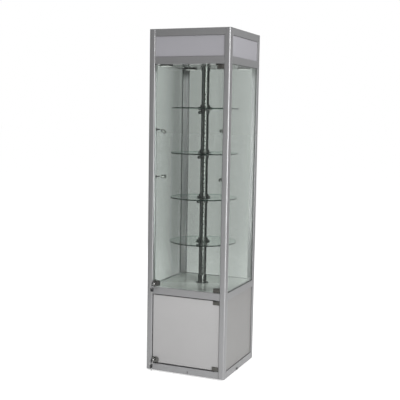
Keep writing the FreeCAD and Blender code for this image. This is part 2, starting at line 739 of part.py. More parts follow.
def make_pivots(name, opening_bottom, opening_top):
    """Pivot clamps at the door's right corners; returns the pivot plates on the rails."""
    ends = (
        ("Bottom", opening_bottom, f"{opening_bottom} + {DOOR_END_GAP} - ClampWeb", None),
        ("Top", opening_top, f"{opening_top} - {DOOR_END_GAP} + ClampWeb", UPSIDE_DOWN),
    )
    clamps = []
    plates = []
    for end, rail_face, clamp_end, rotation in ends:
        corner = (f"{DOOR_RIGHT} - ClampLength", DOOR_MIDDLE, clamp_end)
        clamp = body(f"{name}_Clamp{end}", corner, rotation)
        pad(clamp, [CLAMP_SECTION], "ClampLength", "YZ_Plane")
        bore_x = "ClampLength - PivotSetback"
        bore = regular("PivotPinRadius + RunningClearance", SMALL, bore_x, 0, True)
        cut(clamp, [bore], "ClampWeb + 1", "XY_Plane", -1, True)
        clamps.append(clamp)
        plate = body(f"{name}_Plate{end}", (PIVOT_X, DOOR_MIDDLE, rail_face), rotation)
        half_length = "PivotPlateLength / 2"
        half_width = "PivotPlateWidth / 2"
        outline = rectangle(f"-{half_length}", f"-{half_width}", half_length, half_width)
        pad(plate, [outline], "PivotPlateThickness")
        pad(plate, [regular("PivotPinRadius", SMALL)], f"{DOOR_END_GAP} - PivotPinShort")
        plates.append(plate)
    node(f"{name}_clamps", *clamps)
    return plates


def make_lock_case(name, opening_bottom):
    """Lock case that grips the door round its notch, with a bore for the plug."""
    case = body(f"{name}_lock_case", (LOCK_X, DOOR_MIDDLE, lock_height(opening_bottom)), FACING_FRONT)
    right = "LockCaseLength - LockCaseOverhang"
    top = "LockCaseHeight - LockCaseDrop"
    cover = [
        ("-LockCaseOverhang", "-LockCaseDrop"),
        (f"{right} - LockCaseCorner", "-LockCaseDrop"),
        (right, "LockCaseCorner - LockCaseDrop"),
        (right, f"{top} - LockCaseCorner"),
        (f"{right} - LockCaseCorner", top),
        ("-LockCaseOverhang", top),
    ]
    half_notch = "(NotchHeight / 2 - NotchClearance)"
    core_right = "NotchLength - LockSetback - NotchClearance"
    core = rectangle("-LockSetback", f"-{half_notch}", core_right, half_notch)
    pad(case, [cover], "LockCaseFront", offset="PanelThickness / 2")
    pad(case, [core], "PanelThickness", offset="-PanelThickness / 2")
    pad(case, [cover], "LockCaseRear", offset=f"-{CASE_REAR}")
    bore = regular("LockPlugRadius + RunningClearance", SMALL, 0, 0, True)
    cut(case, [bore], f"{CASE_FRONT} + {CASE_REAR} + 2", "XY_Plane", f"-{CASE_REAR} - 1", True)
    node(f"{name}_lock_case", case)


def make_key(name, opening_bottom):
    """Lock plug with its cam behind the door, and the key in front of it."""
    axis = (LOCK_X, DOOR_MIDDLE, lock_height(opening_bottom))
    cam_front = f"({CASE_REAR} + ThrustGap)"
    rim = f"({CASE_FRONT} + ThrustGap)"
    rim_front = f"({rim} + CamThickness)"
    plug_steps = (
        ("LockPlugRadius", f"-{cam_front}", rim, SMALL),
        ("LockPlugRadius + 1.5", rim, rim_front, SMALL),
        ("KeyNeckRadius", rim_front, f"{rim_front} + KeyNeckLength", COARSE),
    )
    plug = turned_piece(f"{name}_lock_plug", axis, plug_steps, rotation=FACING_FRONT)
    half_cam = "CamWidth / 2"
    cam = rectangle(f"-{half_cam}", f"-{half_cam}", half_cam, "CamLength")
    pad(plug, [cam], "CamThickness", offset=f"-{cam_front} - CamThickness")
    node(f"{name}_lock_plug", plug)
    key = body(f"{name}_key", axis, FACING_FRONT)
    half_width = "(KeyHeadWidth / 2)"
    half_thick = "(KeyHeadThickness / 2)"
    head_end = f"({KEY_HEAD_START} + KeyHeadLength)"
    head = bevelled(f"-{half_width}", KEY_HEAD_START, half_width, head_end, "KeyHeadCorner")
    hole = regular("KeyHoleRadius", COARSE, 0, KEY_HOLE_REACH, True)
    pad(key, [head, hole], "KeyHeadThickness", "YZ_Plane", f"-{half_thick}")
    node(f"{name}_key", key)


def make_spare_key(name, opening_bottom, ring_turn, key_turn):
    """Ring through the key in the lock, and the spare key that hangs from it."""
    slack = "(KeyHoleRadius - 1.2 * KeyRingWire)"
    hang_y = f"({DOOR_MIDDLE} - {KEY_HOLE_REACH})"
    hang_z = f"({lock_height(opening_bottom)} - {slack})"
    ring_centre = f"({hang_z} + KeyRingWire / 2 - KeyRingRadius)"
    ring = body(f"{name}_Ring", (LOCK_X, hang_y, ring_centre), turned(ring_turn))
    loops = [regular("KeyRingRadius"), regular("KeyRingRadius - KeyRingWire")]
    pad(ring, loops, "KeyRingWire", "XZ_Plane", "-KeyRingWire / 2")
    ring_low = f"({ring_centre} - KeyRingRadius + KeyRingWire / 2)"
    spare = body(f"{name}_Spare", (LOCK_X, hang_y, f"{ring_low} - {slack}"), turned(key_turn))
    half_head = "(KeyHeadWidth / 2)"
    half_blade = "(KeyBladeWidth / 2)"
    shoulder = "(KeyHoleSetback - KeyHeadLength)"
    tip = f"({shoulder} - KeyBladeLength)"
    bevel_top = "(KeyHoleSetback - KeyHeadCorner)"
    bevel_low = f"({shoulder} + KeyHeadCorner)"
    right_side = [
        (half_blade, tip),
        (half_blade, shoulder),
        (half_head, bevel_low),
        (half_head, bevel_top),
        (f"{half_head} - KeyHeadCorner", "KeyHoleSetback"),
    ]
    left_side = [(f"-({x})", y) for x, y in reversed(right_side)]
    hole = regular("KeyHoleRadius", COARSE, 0, 0, True)
    offset = "-KeyHeadThickness / 2"
    pad(spare, [right_side + left_side, hole], "KeyHeadThickness", "YZ_Plane", offset)
    node(f"{name}_spare_key", ring, spare)


def make_doors():
    """Both doors with their pivots, locks and keys."""
    plates = []
    for name, opening_bottom, opening_top, ring_turn, key_turn in DOORS:
        make_door(name, opening_bottom, opening_top)
        plates += make_pivots(name, opening_bottom, opening_top)
        make_lock_case(name, opening_bottom)
        make_key(name, opening_bottom)
        make_spare_key(name, opening_bottom, ring_turn, key_turn)
    node("pivot_plates", *plates)


# ------------------------------------------------------------------ column and drive

SHELF_COUNT = 4
HOLE_ROWS = 2
HOLE_SIDES = 6
SCREW_SIDE = turned(size("ScrewAngle") + 90)


def shelf_underside(number):
    """Underside of a glass shelf, counted from 1 at the top."""
    return f"({HEADER_RAIL} - TopShelfDrop - {number - 1} * ShelfSpacing)"


def make_drive():
    """Gear motor and bush under the column, and the bearing cup over it."""
    motor = body("gear_motor", (0, 0, f"{DECK_UNDERSIDE} - MotorFlangeThickness"))
    half_plate = "(MotorFlangeWidth / 2)"
    plate = rectangle(f"-{half_plate}", f"-{half_plate}", half_plate, half_plate)
    pad(motor, [plate], "MotorFlangeThickness")
    pad(motor, [regular("GearboxRadius", ROUND)], "GearboxHeight", offset="-GearboxHeight")
    motor_low = "(GearboxHeight + MotorHeight)"
    pad(motor, [regular("MotorRadius", ROUND)], "MotorHeight", offset=f"-{motor_low}")
    bore = regular(SHAFT_BORE, SMALL, 0, 0, True)
    bore_low = "MotorFlangeThickness - ShaftDepth"
    cut(motor, [bore], "ShaftDepth", offset=bore_low, reverse=True)
    node("gear_motor", motor)
    bush_top = f"({DECK_TOP} + BushFlangeThickness)"
    bush_steps = (
        ("BushRadius", DECK_UNDERSIDE, DECK_TOP, ROUND),
        ("BushFlangeRadius", DECK_TOP, bush_top, SMOOTH),
    )
    bush_bore = ((SHAFT_BORE, DECK_UNDERSIDE, bush_top, TRUE_ROUND),)
    node("deck_bush", turned_piece("deck_bush", (0, 0, 0), bush_steps, bush_bore))
    cup_low = f"({HEADER_RAIL} - TopCupHeight)"
    cup_inside = f"({HEADER_RAIL} - TopCupFloor)"
    tube_bore = "(ColumnRadius + RunningClearance)"
    cup_steps = (
        ("TopCupRadius", cup_inside, HEADER_RAIL, SMOOTH),
        (f"{tube_bore} + TopCupWall", cup_low, cup_inside, SMOOTH),
    )
    cup_bore = ((tube_bore, cup_low, cup_inside, SMOOTH),)
    node("top_bearing", turned_piece("top_bearing", (0, 0, 0), cup_steps, cup_bore))


def make_column():
    """Drive shaft, socket and perforated tube."""
    shaft_low = f"({DECK_UNDERSIDE} - ShaftDepth + ThrustGap)"
    shaft_steps = (("ShaftRadius", shaft_low, COLUMN_BOTTOM, TRUE_ROUND),)
    node("drive_shaft", turned_piece("drive_shaft", (0, 0, 0), shaft_steps, rotation=SCREW_SIDE))
    rim = "SocketFlangeThickness"
    socket_steps = (
        ("SocketFlangeRadius", 0, rim, SMOOTH),
        ("SocketRadius", rim, "SocketHeight", ROUND),
    )
    socket = turned_piece("column_socket", (0, 0, SOCKET_UNDERSIDE), socket_steps, rotation=SCREW_SIDE)
    seat = regular("ColumnRadius + RunningClearance", ROUND)
    cut(socket, [seat], "SocketHeight", offset="SocketFloor", reverse=True)
    shaft_hole = regular(SHAFT_BORE, SMALL, 0, 0, True)
    cut(socket, [shaft_hole], "SocketFloor", reverse=True)
    node("column_socket", socket)
    tube = body("column_tube", (0, 0, COLUMN_BOTTOM), SCREW_SIDE)
    outlines = [regular("ColumnRadius"), regular("ColumnRadius - ColumnWall")]
    pad(tube, outlines, f"{COLUMN_TOP} - {COLUMN_BOTTOM}")
    perforate(tube)
    node("column_tube", tube)


def perforate(tube):
    """Rows of holes along the column; a thumb screw of each shelf meets a hole."""
    screw_height = f"({shelf_underside(SHELF_COUNT)} - ScrewDrop - {COLUMN_BOTTOM})"
    below = math.floor((size(screw_height) - size("HoleMargin")) / size("HolePitch"))
    lowest = size(screw_height) - below * size("HolePitch")
    length = size(f"{COLUMN_TOP} - {COLUMN_BOTTOM} - PlainTop") - lowest
    count = math.floor(length / size("HolePitch")) + 1
    height = f"{screw_height} - {below} * HolePitch"
    hole = regular("HoleRadius", HOLE_SIDES, 0, height)
    pocket = cut(tube, [hole], "ColumnRadius", "XZ_Plane", 0, True)
    along = tube.newObject("PartDesign::LinearPattern", "HolesAlong")
    along.Direction = (origin_plane(tube, "Z_Axis"), [""])
    along.Occurrences = count
    along.setExpression("Length", bound(f"{count - 1} * HolePitch"))
    around = tube.newObject("PartDesign::PolarPattern", "HoleRows")
    around.Axis = (origin_plane(tube, "Z_Axis"), [""])
    around.Occurrences = HOLE_ROWS
    around.setExpression("Angle", bound(f"{HOLE_ROWS - 1} * HoleRowTurn"))
    holes = tube.newObject("PartDesign::MultiTransform", "Holes")
    holes.Originals = [pocket]
    holes.Transformations = [along, around]
    tube.Tip = holes


def make_shelf(number):
    """One glass shelf with its collar, clamp ring and thumb screw."""
    low = shelf_underside(number)
    glass = body(f"glass_shelf_{number}", (0, 0, low), SCREW_SIDE)
    glass_hole = regular("CollarNeckRadius + GlassHoleClearance")
    pad(glass, [regular("ShelfRadius", SHELF_SIDES), glass_hole], "ShelfThickness")
    node(f"glass_shelf_{number}", glass)
    neck_top = "(ShelfThickness + ClampRingHeight - NeckShort)"
    step_low = "(CollarFlangeThickness + CollarStepHeight)"
    hub_steps = (
        ("CollarHubRadius", "-CollarHeight", f"-{step_low}", ROUND),
        ("CollarStepRadius", f"-{step_low}", "-CollarFlangeThickness", ROUND),
        ("CollarFlangeRadius", "-CollarFlangeThickness", 0, SMOOTH),
        ("CollarNeckRadius", 0, neck_top, ROUND),
    )
    hub = turned_piece(f"Hub{number}", (0, 0, low), hub_steps, rotation=SCREW_SIDE)
    tube_hole = regular("ColumnRadius + RunningClearance")
    cut(hub, [tube_hole], f"CollarHeight + {neck_top}", offset="-CollarHeight", reverse=True)
    screw_hole = regular("ScrewRadius + RunningClearance", COARSE, 0, "-ScrewDrop", True)
    cut(hub, [screw_hole], "CollarHubRadius", "XZ_Plane", 0, True)
    ring = body(f"Ring{number}", (0, 0, f"{low} + ShelfThickness"), SCREW_SIDE)
    neck_hole = regular("CollarNeckRadius + RunningClearance")
    pad(ring, [regular("ClampRingRadius"), neck_hole], "ClampRingHeight / 3")
    upper = "2 * ClampRingHeight / 3"
    pad(ring, [regular("ClampRingTop"), neck_hole], upper, offset="ClampRingHeight / 3")
    screw_steps = (
        ("ScrewRadius", "ColumnRadius + ScrewTipGap", "ScrewReach", COARSE),
        ("KnobRadius", "ScrewReach", "ScrewReach + KnobLength", SMALL),
    )
    # the screw's own axis is its body's vertical, laid over to point away from the column
    lay_over = SCREW_SIDE.multiply(Rotation(Vector(1, 0, 0), 90))
    screw = turned_piece(f"Screw{number}", (0, 0, f"{low} - ScrewDrop"), screw_steps, rotation=lay_over)
    node(f"shelf_collar_{number}", hub, ring, screw)


# ------------------------------------------------------------------------- lighting

SPOTS = (
    # name, sign of x, turn of the bracket, height above the deck, rest tilt in degrees
    ("left_upper", -1, 0, "SpotUpperHeight", 35),
    ("left_lower", -1, 0, "SpotLowerHeight", 3),
    ("right_upper", 1, 90, "SpotUpperHeight", 3),
    ("right_lower", 1, 90, "SpotLowerHeight", 12),
)
SADDLE = [
    ("-SpotBaseLeg", 0),
    (0, 0),
    (0, "-SpotBaseLeg"),
    ("SpotBaseWall", "-SpotBaseLeg"),
    ("SpotBaseWall", "SpotBaseWall"),
    ("-SpotBaseLeg", "SpotBaseWall"),
]


def make_spot_bracket(name, corner, angle):
    """Corner bracket on a post, with a stem that ends in the tongue of the tilt joint."""
    saddle = body(f"Saddle_{name}", corner, turned(angle))
    pad(saddle, [SADDLE], "SpotBaseHeight", offset="-SpotBaseHeight / 2")
    stem = body(f"Stem_{name}", corner, turned(angle + 45))
    stem_start = "SpotBaseWall / 2"
    stem_end = "(SpotPivotReach - SpotKnuckleRadius - 1)"
    shank = regular("SpotStemRadius", COARSE)
    pad(stem, [shank], f"{stem_end} - {stem_start}", "YZ_Plane", stem_start)
    half_tongue = "(SpotKnuckleWidth / 2)"
    half_height = "(SpotStemRadius * 0.9)"
    tongue_end = "SpotPivotReach + SpotKnuckleRadius"
    tongue = [
        (f"{stem_end} - 2", f"-{half_height}"),
        (f"{tongue_end} - 2", f"-{half_height}"),
        (tongue_end, f"2 - {half_height}"),
        (tongue_end, f"{half_height} - 2"),
        (f"{tongue_end} - 2", half_height),
        (f"{stem_end} - 2", half_height),
    ]
    pin_hole = regular("SpotPinRadius + RunningClearance", COARSE, "SpotPivotReach", 0, True)
    pad(stem, [tongue], "SpotKnuckleWidth", "XZ_Plane", f"-{half_tongue}")
    cut(stem, [pin_hole], "SpotKnuckleWidth", "XZ_Plane", half_tongue)
    bracket = doc.addObject("Part::Fuse", f"Bracket_{name}")
    bracket.Base = saddle
    bracket.Tool = stem
    return bracket


def make_spot_head(name, pivot, angle, tilt):
    """Spotlight head: an open can on two ears, with the pin between them."""
    aim = turned(angle + 45).multiply(Rotation(Vector(0, 1, 0), tilt))
    # the can's axis is the body's vertical, laid over along the stem
    lay_over = aim.multiply(Rotation(Vector(0, 1, 0), 90))
    back = "SpotHeadOffset"
    front = "(SpotHeadOffset + SpotHeadLength)"
    can = (("SpotHeadRadius", back, front, SMALL),)
    recess = (("SpotHeadBore", f"{front} - SpotHeadBoreDepth", front, SMALL),)
    head = turned_piece(f"Can_{name}", pivot, can, recess, lay_over)
    ear_near = "(SpotKnuckleWidth / 2 + SpotEarGap)"
    half_ear = "(SpotKnuckleRadius - 1)"
    ear = rectangle(f"-{half_ear}", f"-{half_ear}", half_ear, f"{back} + 0.5")
    for offset in (ear_near, f"-{ear_near} - SpotEarWidth"):
        pad(head, [ear], "SpotEarWidth", "XZ_Plane", offset)
    pin_length = f"2 * ({ear_near} + SpotEarWidth)"
    pad(head, [regular("SpotPinRadius", COARSE)], pin_length, "XZ_Plane", f"-({pin_length}) / 2")
    return head


def make_spots():
    """Four small spotlights on the front posts, aimed at the column."""
    brackets = []
    for name, side, angle, height, tilt in SPOTS:
        corner_x = f"{side} * ({HALF_WIDTH} - PostWidth)"
        corner_y = f"-({HALF_DEPTH} - PostWidth)"
        axis_z = f"{DECK_TOP} + {height}"
        brackets.append(make_spot_bracket(name, (corner_x, corner_y, axis_z), angle))
        pivot = (
            f"{corner_x} - {side} * SpotPivotReach * sqrt(0.5)",
            f"{corner_y} + SpotPivotReach * sqrt(0.5)",
            axis_z,
        )
        node(f"spot_head_{name}", make_spot_head(name, pivot, angle, tilt))
    node("spot_brackets", *brackets)


def make_ceiling_lights():
    """Four surface lights with lenses under the ceiling, and their power supply over it."""
    housings = []
    lenses = []
    housing_low = f"({HEADER_RAIL} - PuckThickness)"
    housing_steps = (("PuckRadius", housing_low, HEADER_RAIL, ROUND),)
    lens_steps = (("LensRadius", f"{housing_low} - LensThickness", housing_low, ROUND),)
    for side in (-1, 1):
        for back in (-1, 1):
            x = f"{side} * ({HALF_WIDTH} - PuckInset)"
            y = f"{back} * ({HALF_DEPTH} - PuckInset)"
            tag = f"{side + 1}{back + 1}"
            housings.append(turned_piece(f"Puck{tag}", (x, y, 0), housing_steps))
            lenses.append(turned_piece(f"Lens{tag}", (x, y, 0), lens_steps))
    node("ceiling_light_housings", *housings)
    node("ceiling_light_lenses", *lenses)
    lengths = ("DriverLength", "DriverWidth", "DriverHeight")
    position = ("-DriverLength / 2", "DriverSetback", f"{HEADER_RAIL} + BoardThickness")
    node("light_power_supply", block("light_power_supply", lengths, position))


# ----------------------------------------------------------------------------- base


def make_feet():
    """Levelling feet screwed to the underside of the cupboard floor."""
    board = f"({FLOOR_TOP} - BoardThickness)"
    foot_steps = (
        ("FootRadius", 0, "FootPadHeight", SMALL),
        ("FootStudRadius", "FootPadHeight", f"{board} - FootPlateThickness", COARSE),
        ("FootPlateRadius", f"{board} - FootPlateThickness", board, SMALL),
    )
    feet = []
    for side in (-1, 1):
        for back in (-1, 1):
            x = f"{side} * ({HALF_WIDTH} - FootInset)"
            y = f"{back} * ({HALF_DEPTH} - FootInset)"
            feet.append(turned_piece(f"Foot{side + 1}{back + 1}", (x, y, 0), foot_steps))
    node("levelling_feet", *feet)


def make_power_inlet():
    """Low-voltage inlet in the right base rail, where the supply cable plugs in."""
    # the inlet's axis is its body's vertical, laid over to point to the right
    lay_over = Rotation(Vector(0, 1, 0), 90)
    place_on_rail = (HALF_WIDTH, "-InletForward", f"({FRAME_BOTTOM} + InletRise)")
    inlet_steps = (
        ("InletShankRadius", "-RailDepth", 0, SMALL),
        ("InletRadius", 0, "InletFlange", ROUND),
    )
    contact = (("InletBore", "InletFlange - InletBoreDepth", "InletFlange", SMALL),)
    inlet = turned_piece("power_inlet", place_on_rail, inlet_steps, contact, lay_over)
    node("power_inlet", inlet)


# ------------------------------------------------------------------------ assembly


def check_and_write():
    """Make sure that every object built, then write one STEP file for each node."""
    for thing in doc.Objects:
        if "Invalid" in thing.State or "Error" in thing.State:
            raise RuntimeError(f"{thing.Label} failed: {thing.State}")
    for name, piece in nodes.items():
        if piece.Shape.isNull() or not piece.Shape.isValid():
            raise RuntimeError(f"{name} has no valid shape")
        if not piece.Shape.Solids:
            raise RuntimeError(f"{name} has no solid")
    os.makedirs("parts", exist_ok=True)
    for name, piece in nodes.items():
        piece.Shape.exportStep(f"parts/{name}.step")
    print(f"{len(nodes)} nodes, {sum(len(piece.Shape.Solids) for piece in nodes.values())} solids")


make_posts()
make_rails()
make_boards()
make_infills()
make_doors()
make_drive()
make_column()
for shelf_number in range(1, SHELF_COUNT + 1):
    make_shelf(shelf_number)
make_spots()
make_ceiling_lights()
make_feet()
make_power_inlet()
doc.recompute()
check_and_write()
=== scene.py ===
"""Looks of the revolving glass display cabinet, built round its fixed frame.

Lengths are millimetres until a shell becomes a mesh.  X is to the right, Y to the back and
Z up, from the point on the floor under the cabinet's centre.
"""

import sys

import logging
import math
from collections.abc import Callable, Iterable, Sequence
from dataclasses import dataclass, field
from enum import Enum
from typing import Any

import bpy
import numpy as np
from mathutils import Matrix, Vector


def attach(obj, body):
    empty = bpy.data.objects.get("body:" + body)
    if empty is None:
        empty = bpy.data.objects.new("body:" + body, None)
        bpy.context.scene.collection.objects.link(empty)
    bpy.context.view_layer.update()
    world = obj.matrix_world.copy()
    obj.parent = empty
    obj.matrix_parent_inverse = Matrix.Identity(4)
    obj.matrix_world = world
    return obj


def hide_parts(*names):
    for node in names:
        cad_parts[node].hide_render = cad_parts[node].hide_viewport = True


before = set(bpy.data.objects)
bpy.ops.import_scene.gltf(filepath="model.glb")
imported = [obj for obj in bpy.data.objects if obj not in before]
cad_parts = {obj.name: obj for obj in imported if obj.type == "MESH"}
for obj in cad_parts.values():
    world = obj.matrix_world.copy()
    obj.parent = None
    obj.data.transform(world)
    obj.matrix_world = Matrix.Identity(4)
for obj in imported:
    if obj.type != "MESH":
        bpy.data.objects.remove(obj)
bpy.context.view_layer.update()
log = logging.getLogger("cabinet")
MILLIMETRE = 0.001
FULL_TURN = 2 * math.pi
CREASE = math.radians(32)
MERGE_STEPS = 1000
MERGE_SHIFT = 0.0137
RIGHT = (1.0, 0.0, 0.0)
BACK = (0.0, 1.0, 0.0)
UP = (0.0, 0.0, 1.0)
LEFT = (-1.0, 0.0, 0.0)
FRONT = (0.0, -1.0, 0.0)
DOWN = (0.0, 0.0, -1.0)
QUARTERS = np.array([[1, 1], [-1, 1], [-1, -1], [1, -1]], float)

# Underside and top of the openings between the rails, a lock's height in its own, and
# the distance of a ceiling light's centre from both middle planes.
CUPBOARD = (50.0, 471.0)
DISPLAY = (511.0, 1812.0)
HEADER = (1852.0, 1970.0)
LOCK_RISE = 21.5
LIGHT_INSET = 175.0

Colour = tuple[float, float, float]


# ---------------------------------------------------------------------------- shells


@dataclass
class Shell:
    """A surface in numbers.

    Attributes:
        points: places of its points, one row each.
        faces: four point numbers a face, counterclockwise from outside.
        finish: the number of each face's finish.
    """

    points: np.ndarray
    faces: np.ndarray
    finish: np.ndarray

    def put(self, matrix: np.ndarray) -> "Shell":
        """The shell carried by a 4 by 4 matrix."""
        return Shell(self.points @ matrix[:3, :3].T + matrix[:3, 3], self.faces, self.finish)


def joined(shells: Iterable[Shell]) -> Shell:
    """Several shells as one.

    Args:
        shells: the shells, in order.

    Returns:
        One with all their points and faces.
    """
    parts = list(shells)
    starts = np.cumsum([0] + [len(part.points) for part in parts[:-1]])
    return Shell(
        np.concatenate([part.points for part in parts]),
        np.concatenate([part.faces + start for part, start in zip(parts, starts)]),
        np.concatenate([part.finish for part in parts]),
    )


def in_two(first: Shell, rest: Iterable[Shell]) -> Shell:
    """Shells in two finishes as one.

    Args:
        first: the one in the first finish.
        rest: those in the second.

    Returns:
        The whole.
    """
    whole = joined([first, *rest])
    whole.finish[len(first.faces) :] = 1
    return whole


def quads(index: np.ndarray) -> np.ndarray:
    """Faces of a grid of point numbers: (i, j), (i, j+1), (i+1, j+1) and (i+1, j)."""
    return np.stack([index[:-1, :-1], index[:-1, 1:], index[1:, 1:], index[1:, :-1]], axis=-1)


def woven(points: np.ndarray, finish: int | np.ndarray = 0, closed_rows: bool = False) -> Shell:
    """Shell over a grid whose columns close on themselves.

    Args:
        points: array of rows by columns by 3.
        finish: one finish, or one for each row of faces.
        closed_rows: whether the last row also joins the first.

    Returns:
        The shell.
    """
    rows, columns = points.shape[:2]
    index = np.arange(rows * columns).reshape(rows, columns)
    index = np.hstack([index, index[:, :1]])
    if closed_rows:
        index = np.vstack([index, index[:1]])
    faces = quads(index)
    kinds = np.broadcast_to(np.asarray(finish).reshape(-1, 1), faces.shape[:2])
    return Shell(points.reshape(-1, 3), faces.reshape(-1, 4), kinds.ravel().copy())


def lifted(rings: np.ndarray, heights: Any) -> np.ndarray:
    """Rings of flat points, each at its own height."""
    level = np.broadcast_to(np.reshape(heights, (-1, 1, 1)), (*rings.shape[:2], 1))
    return np.concatenate([rings, level], axis=-1)


def polar(radius: Any, angle: Any, height: Any) -> np.ndarray:
    """The points (r cos a, r sin a, height) of arrays that fit each other."""
    x, y, z = np.broadcast_arrays(radius * np.cos(angle), radius * np.sin(angle), height)
    return np.stack([x, y, z], axis=-1)


def pairs(*numbers: float) -> np.ndarray:
    """A path from its numbers, two a point."""
    return np.array(numbers, float).reshape(-1, 2)


def softened(corners: Any, reach: float, steps: int = 3) -> np.ndarray:
    """A path with its inner corners rounded.

    Each corner becomes a parabola that leaves one side and meets the next at the given
    distance from the corner, or at half of the shorter side where that is less.

    Args:
        corners: the path's corners, two numbers each.
        reach: distance from a corner to the ends of its curve.
        steps: pieces of each curve.

    Returns:
        The points of the rounded path.
    """
    path = np.array(corners, float)
    step = np.diff(path, axis=0)
    length = np.linalg.norm(step, axis=1)
    unit = step / length[:, None]
    nearly_half = 0.499
    cut = np.minimum(reach, nearly_half * np.minimum(length[:-1], length[1:]))[:, None]
    bend = path[1:-1, None]
    start = bend - (unit[:-1] * cut)[:, None]
    end = bend + (unit[1:] * cut)[:, None]
    t = np.linspace(0, 1, steps + 1)[None, :, None]
    curve = (1 - t) ** 2 * start + 2 * t * (1 - t) * bend + t**2 * end
    return np.vstack([path[:1], curve.reshape(-1, 2), path[-1:]])


def turned(
    profile: np.ndarray,
    sides: int,
    finish: int | Sequence[int] = 0,
    knurl: tuple[int, float, float] | None = None,
) -> Shell:
    """A profile turned round the vertical: x = r cos a, y = r sin a, z = height.

    Args:
        profile: radius and height of each point, upwards on the outside.
        sides: steps round the axis.
        finish: one finish, or one for each step of the profile.
        knurl: number of ridges, their depth and the radius beyond which they lie; the
            radius there is r + depth cos(number times a).

    Returns:
        The shell.
    """
    angle = np.arange(sides) * FULL_TURN / sides
    radius = profile[:, :1]
    if knurl:
        count, depth, beyond = knurl
        radius = radius + np.where(radius > beyond, depth * np.cos(count * angle), 0)
    return woven(polar(radius, angle, profile[:, 1:]), np.asarray(finish))


def spun(sides: int, reach: float, *numbers: float, knurl: Any = None) -> Shell:
    """A path of radii and heights with rounded corners, turned round the vertical."""
    return turned(softened(pairs(*numbers), reach), sides, 0, knurl)


def outline(width: float, height: float, corners: Any, steps: int = 4) -> np.ndarray:
    """A rectangle with rounded corners, counterclockwise about its centre.

    Corner k is the arc centre + radius (cos a, sin a), a running over its quarter turn.

    Args:
        width: size along the first direction.
        height: size along the second.
        corners: radius of the four corners from the upper right one on, or one for all.
        steps: pieces of each arc.

    Returns:
        The points, four times steps + 1 of them.
    """
    least = 0.02
    radius = np.maximum(np.broadcast_to(np.asarray(corners, float), 4), least)[:, None]
    angle = (np.arange(4)[:, None] + np.linspace(0, 1, steps + 1)) * math.pi / 2
    x = QUARTERS[:, :1] * (width / 2 - radius) + radius * np.cos(angle)
    y = QUARTERS[:, 1:] * (height / 2 - radius) + radius * np.sin(angle)
    return np.stack([x.ravel(), y.ravel()], axis=-1)


def slab(
    width: float, height: float, thickness: float, corners: Any = 1.0, edge: float = 0.5
) -> Shell:
    """A plate on z = 0 with rounded corners, its edges rounded as quarter circles.

    Ring k is the outline drawn in by edge (1 - sin a) at the height edge (1 - cos a).

    Args:
        width: size along x.
        height: size along y.
        thickness: size along z.
        corners: radius of the corners, one for all or four.
        edge: rounding of the edges.

    Returns:
        The shell.
    """
    angle = np.linspace(0, math.pi / 2, 4)
    draw = edge * (1 - np.sin(angle))
    rise = edge * (1 - np.cos(angle))
    radius = np.broadcast_to(np.asarray(corners, float), 4)
    draws = np.concatenate([draw, draw[::-1]])
    rings = np.array([outline(width - 2 * d, height - 2 * d, radius - d) for d in draws])
    pole = 0 * rings[:1]
    heights = np.concatenate([[0.0], rise, thickness - rise[::-1], [thickness]])
    return woven(lifted(np.concatenate([pole, rings, pole]), heights))


def holed_slab(
    width: float,
    height: float,
    thickness: float,
    corners: Any,
    hole: tuple[float, float, float],
    edge: float,
) -> Shell:
    """A plate on z = 0 with a round hole.

    Its rings run up the outside, in over the top, down the hole and back; the hole's
    point k lies in the direction of the outline's point k from the hole's centre.

    Args:
        width: size along x.
        height: size along y.
        thickness: size along z.
        corners: radius of the corners.
        hole: the hole's centre along x and y, and its radius.
        edge: chamfer of the edges.

    Returns:
        The shell.
    """
    radius = np.broadcast_to(np.asarray(corners, float), 4)
    outer = outline(width, height, radius, 6)
    inner = outline(width - 2 * edge, height - 2 * edge, radius - edge, 6)
    centre = np.array(hole[:2])
    away = outer - centre
    away /= np.linalg.norm(away, axis=1)[:, None]
    bore = centre + away * hole[2]
    mouth = centre + away * (hole[2] + edge / 2)
    rings = np.array([inner, outer, outer, inner, mouth, bore, bore, mouth])
    rise, half, top = edge, edge / 2, thickness
    heights = [0, rise, top - rise, top, top, top - half, half, 0]
    return woven(lifted(rings, heights), closed_rows=True)


def surround(width: float, height: float, bead: Any) -> Shell:
    """A bead carried round a rectangle on z = 0, mitred at the corners.

    Args:
        width: outside size along x.
        height: outside size along y.
        bead: distance in from the outside and height, up on the outside, then back.

    Returns:
        The shell.
    """
    path = np.asarray(bead, float)
    flat = QUARTERS * (np.array([width / 2, height / 2]) - path[:, :1, None])
    return woven(lifted(flat, path[:, 1]), closed_rows=True)


def hexagon(half: float, angle: np.ndarray) -> np.ndarray:
    """Radius of a hexagon at some angles, from half its width across the flats."""
    return half / np.cos(np.mod(angle, math.pi / 3) - math.pi / 6)


def cap_screw(radius: float, height: float, socket: float) -> Shell:
    """Screw head on z = 0 with a hexagonal socket.

    Args:
        radius: outside of the head.
        height: height of the head.
        socket: half the width across the socket's flats.

    Returns:
        The shell.
    """
    angle = np.arange(24) * FULL_TURN / 24
    wall = hexagon(socket, angle)
    ring = np.ones(24)
    bevel, taper, deep = 0.3, 0.97, height * 0.35
    radii = [0, radius, radius, radius - bevel, wall, wall * taper, 0]
    heights = np.array([0, 0, height - bevel, height, height, deep, deep])[:, None]
    return woven(polar(np.array([part * ring for part in radii]), angle, heights))


def hoop(radius: float, wire: float) -> Shell:
    """A round wire bent to a circle about z: radius + wire cos b out, wire sin b up.

    Args:
        radius: centre of the hoop to the middle of the wire.
        wire: radius of the wire.

    Returns:
        The shell.
    """
    b = -np.arange(10)[:, None] * FULL_TURN / 10
    a = np.arange(48) * FULL_TURN / 48
    points = polar(radius + wire * np.cos(b), a, wire * np.sin(b))
    return woven(points[::-1], closed_rows=True)


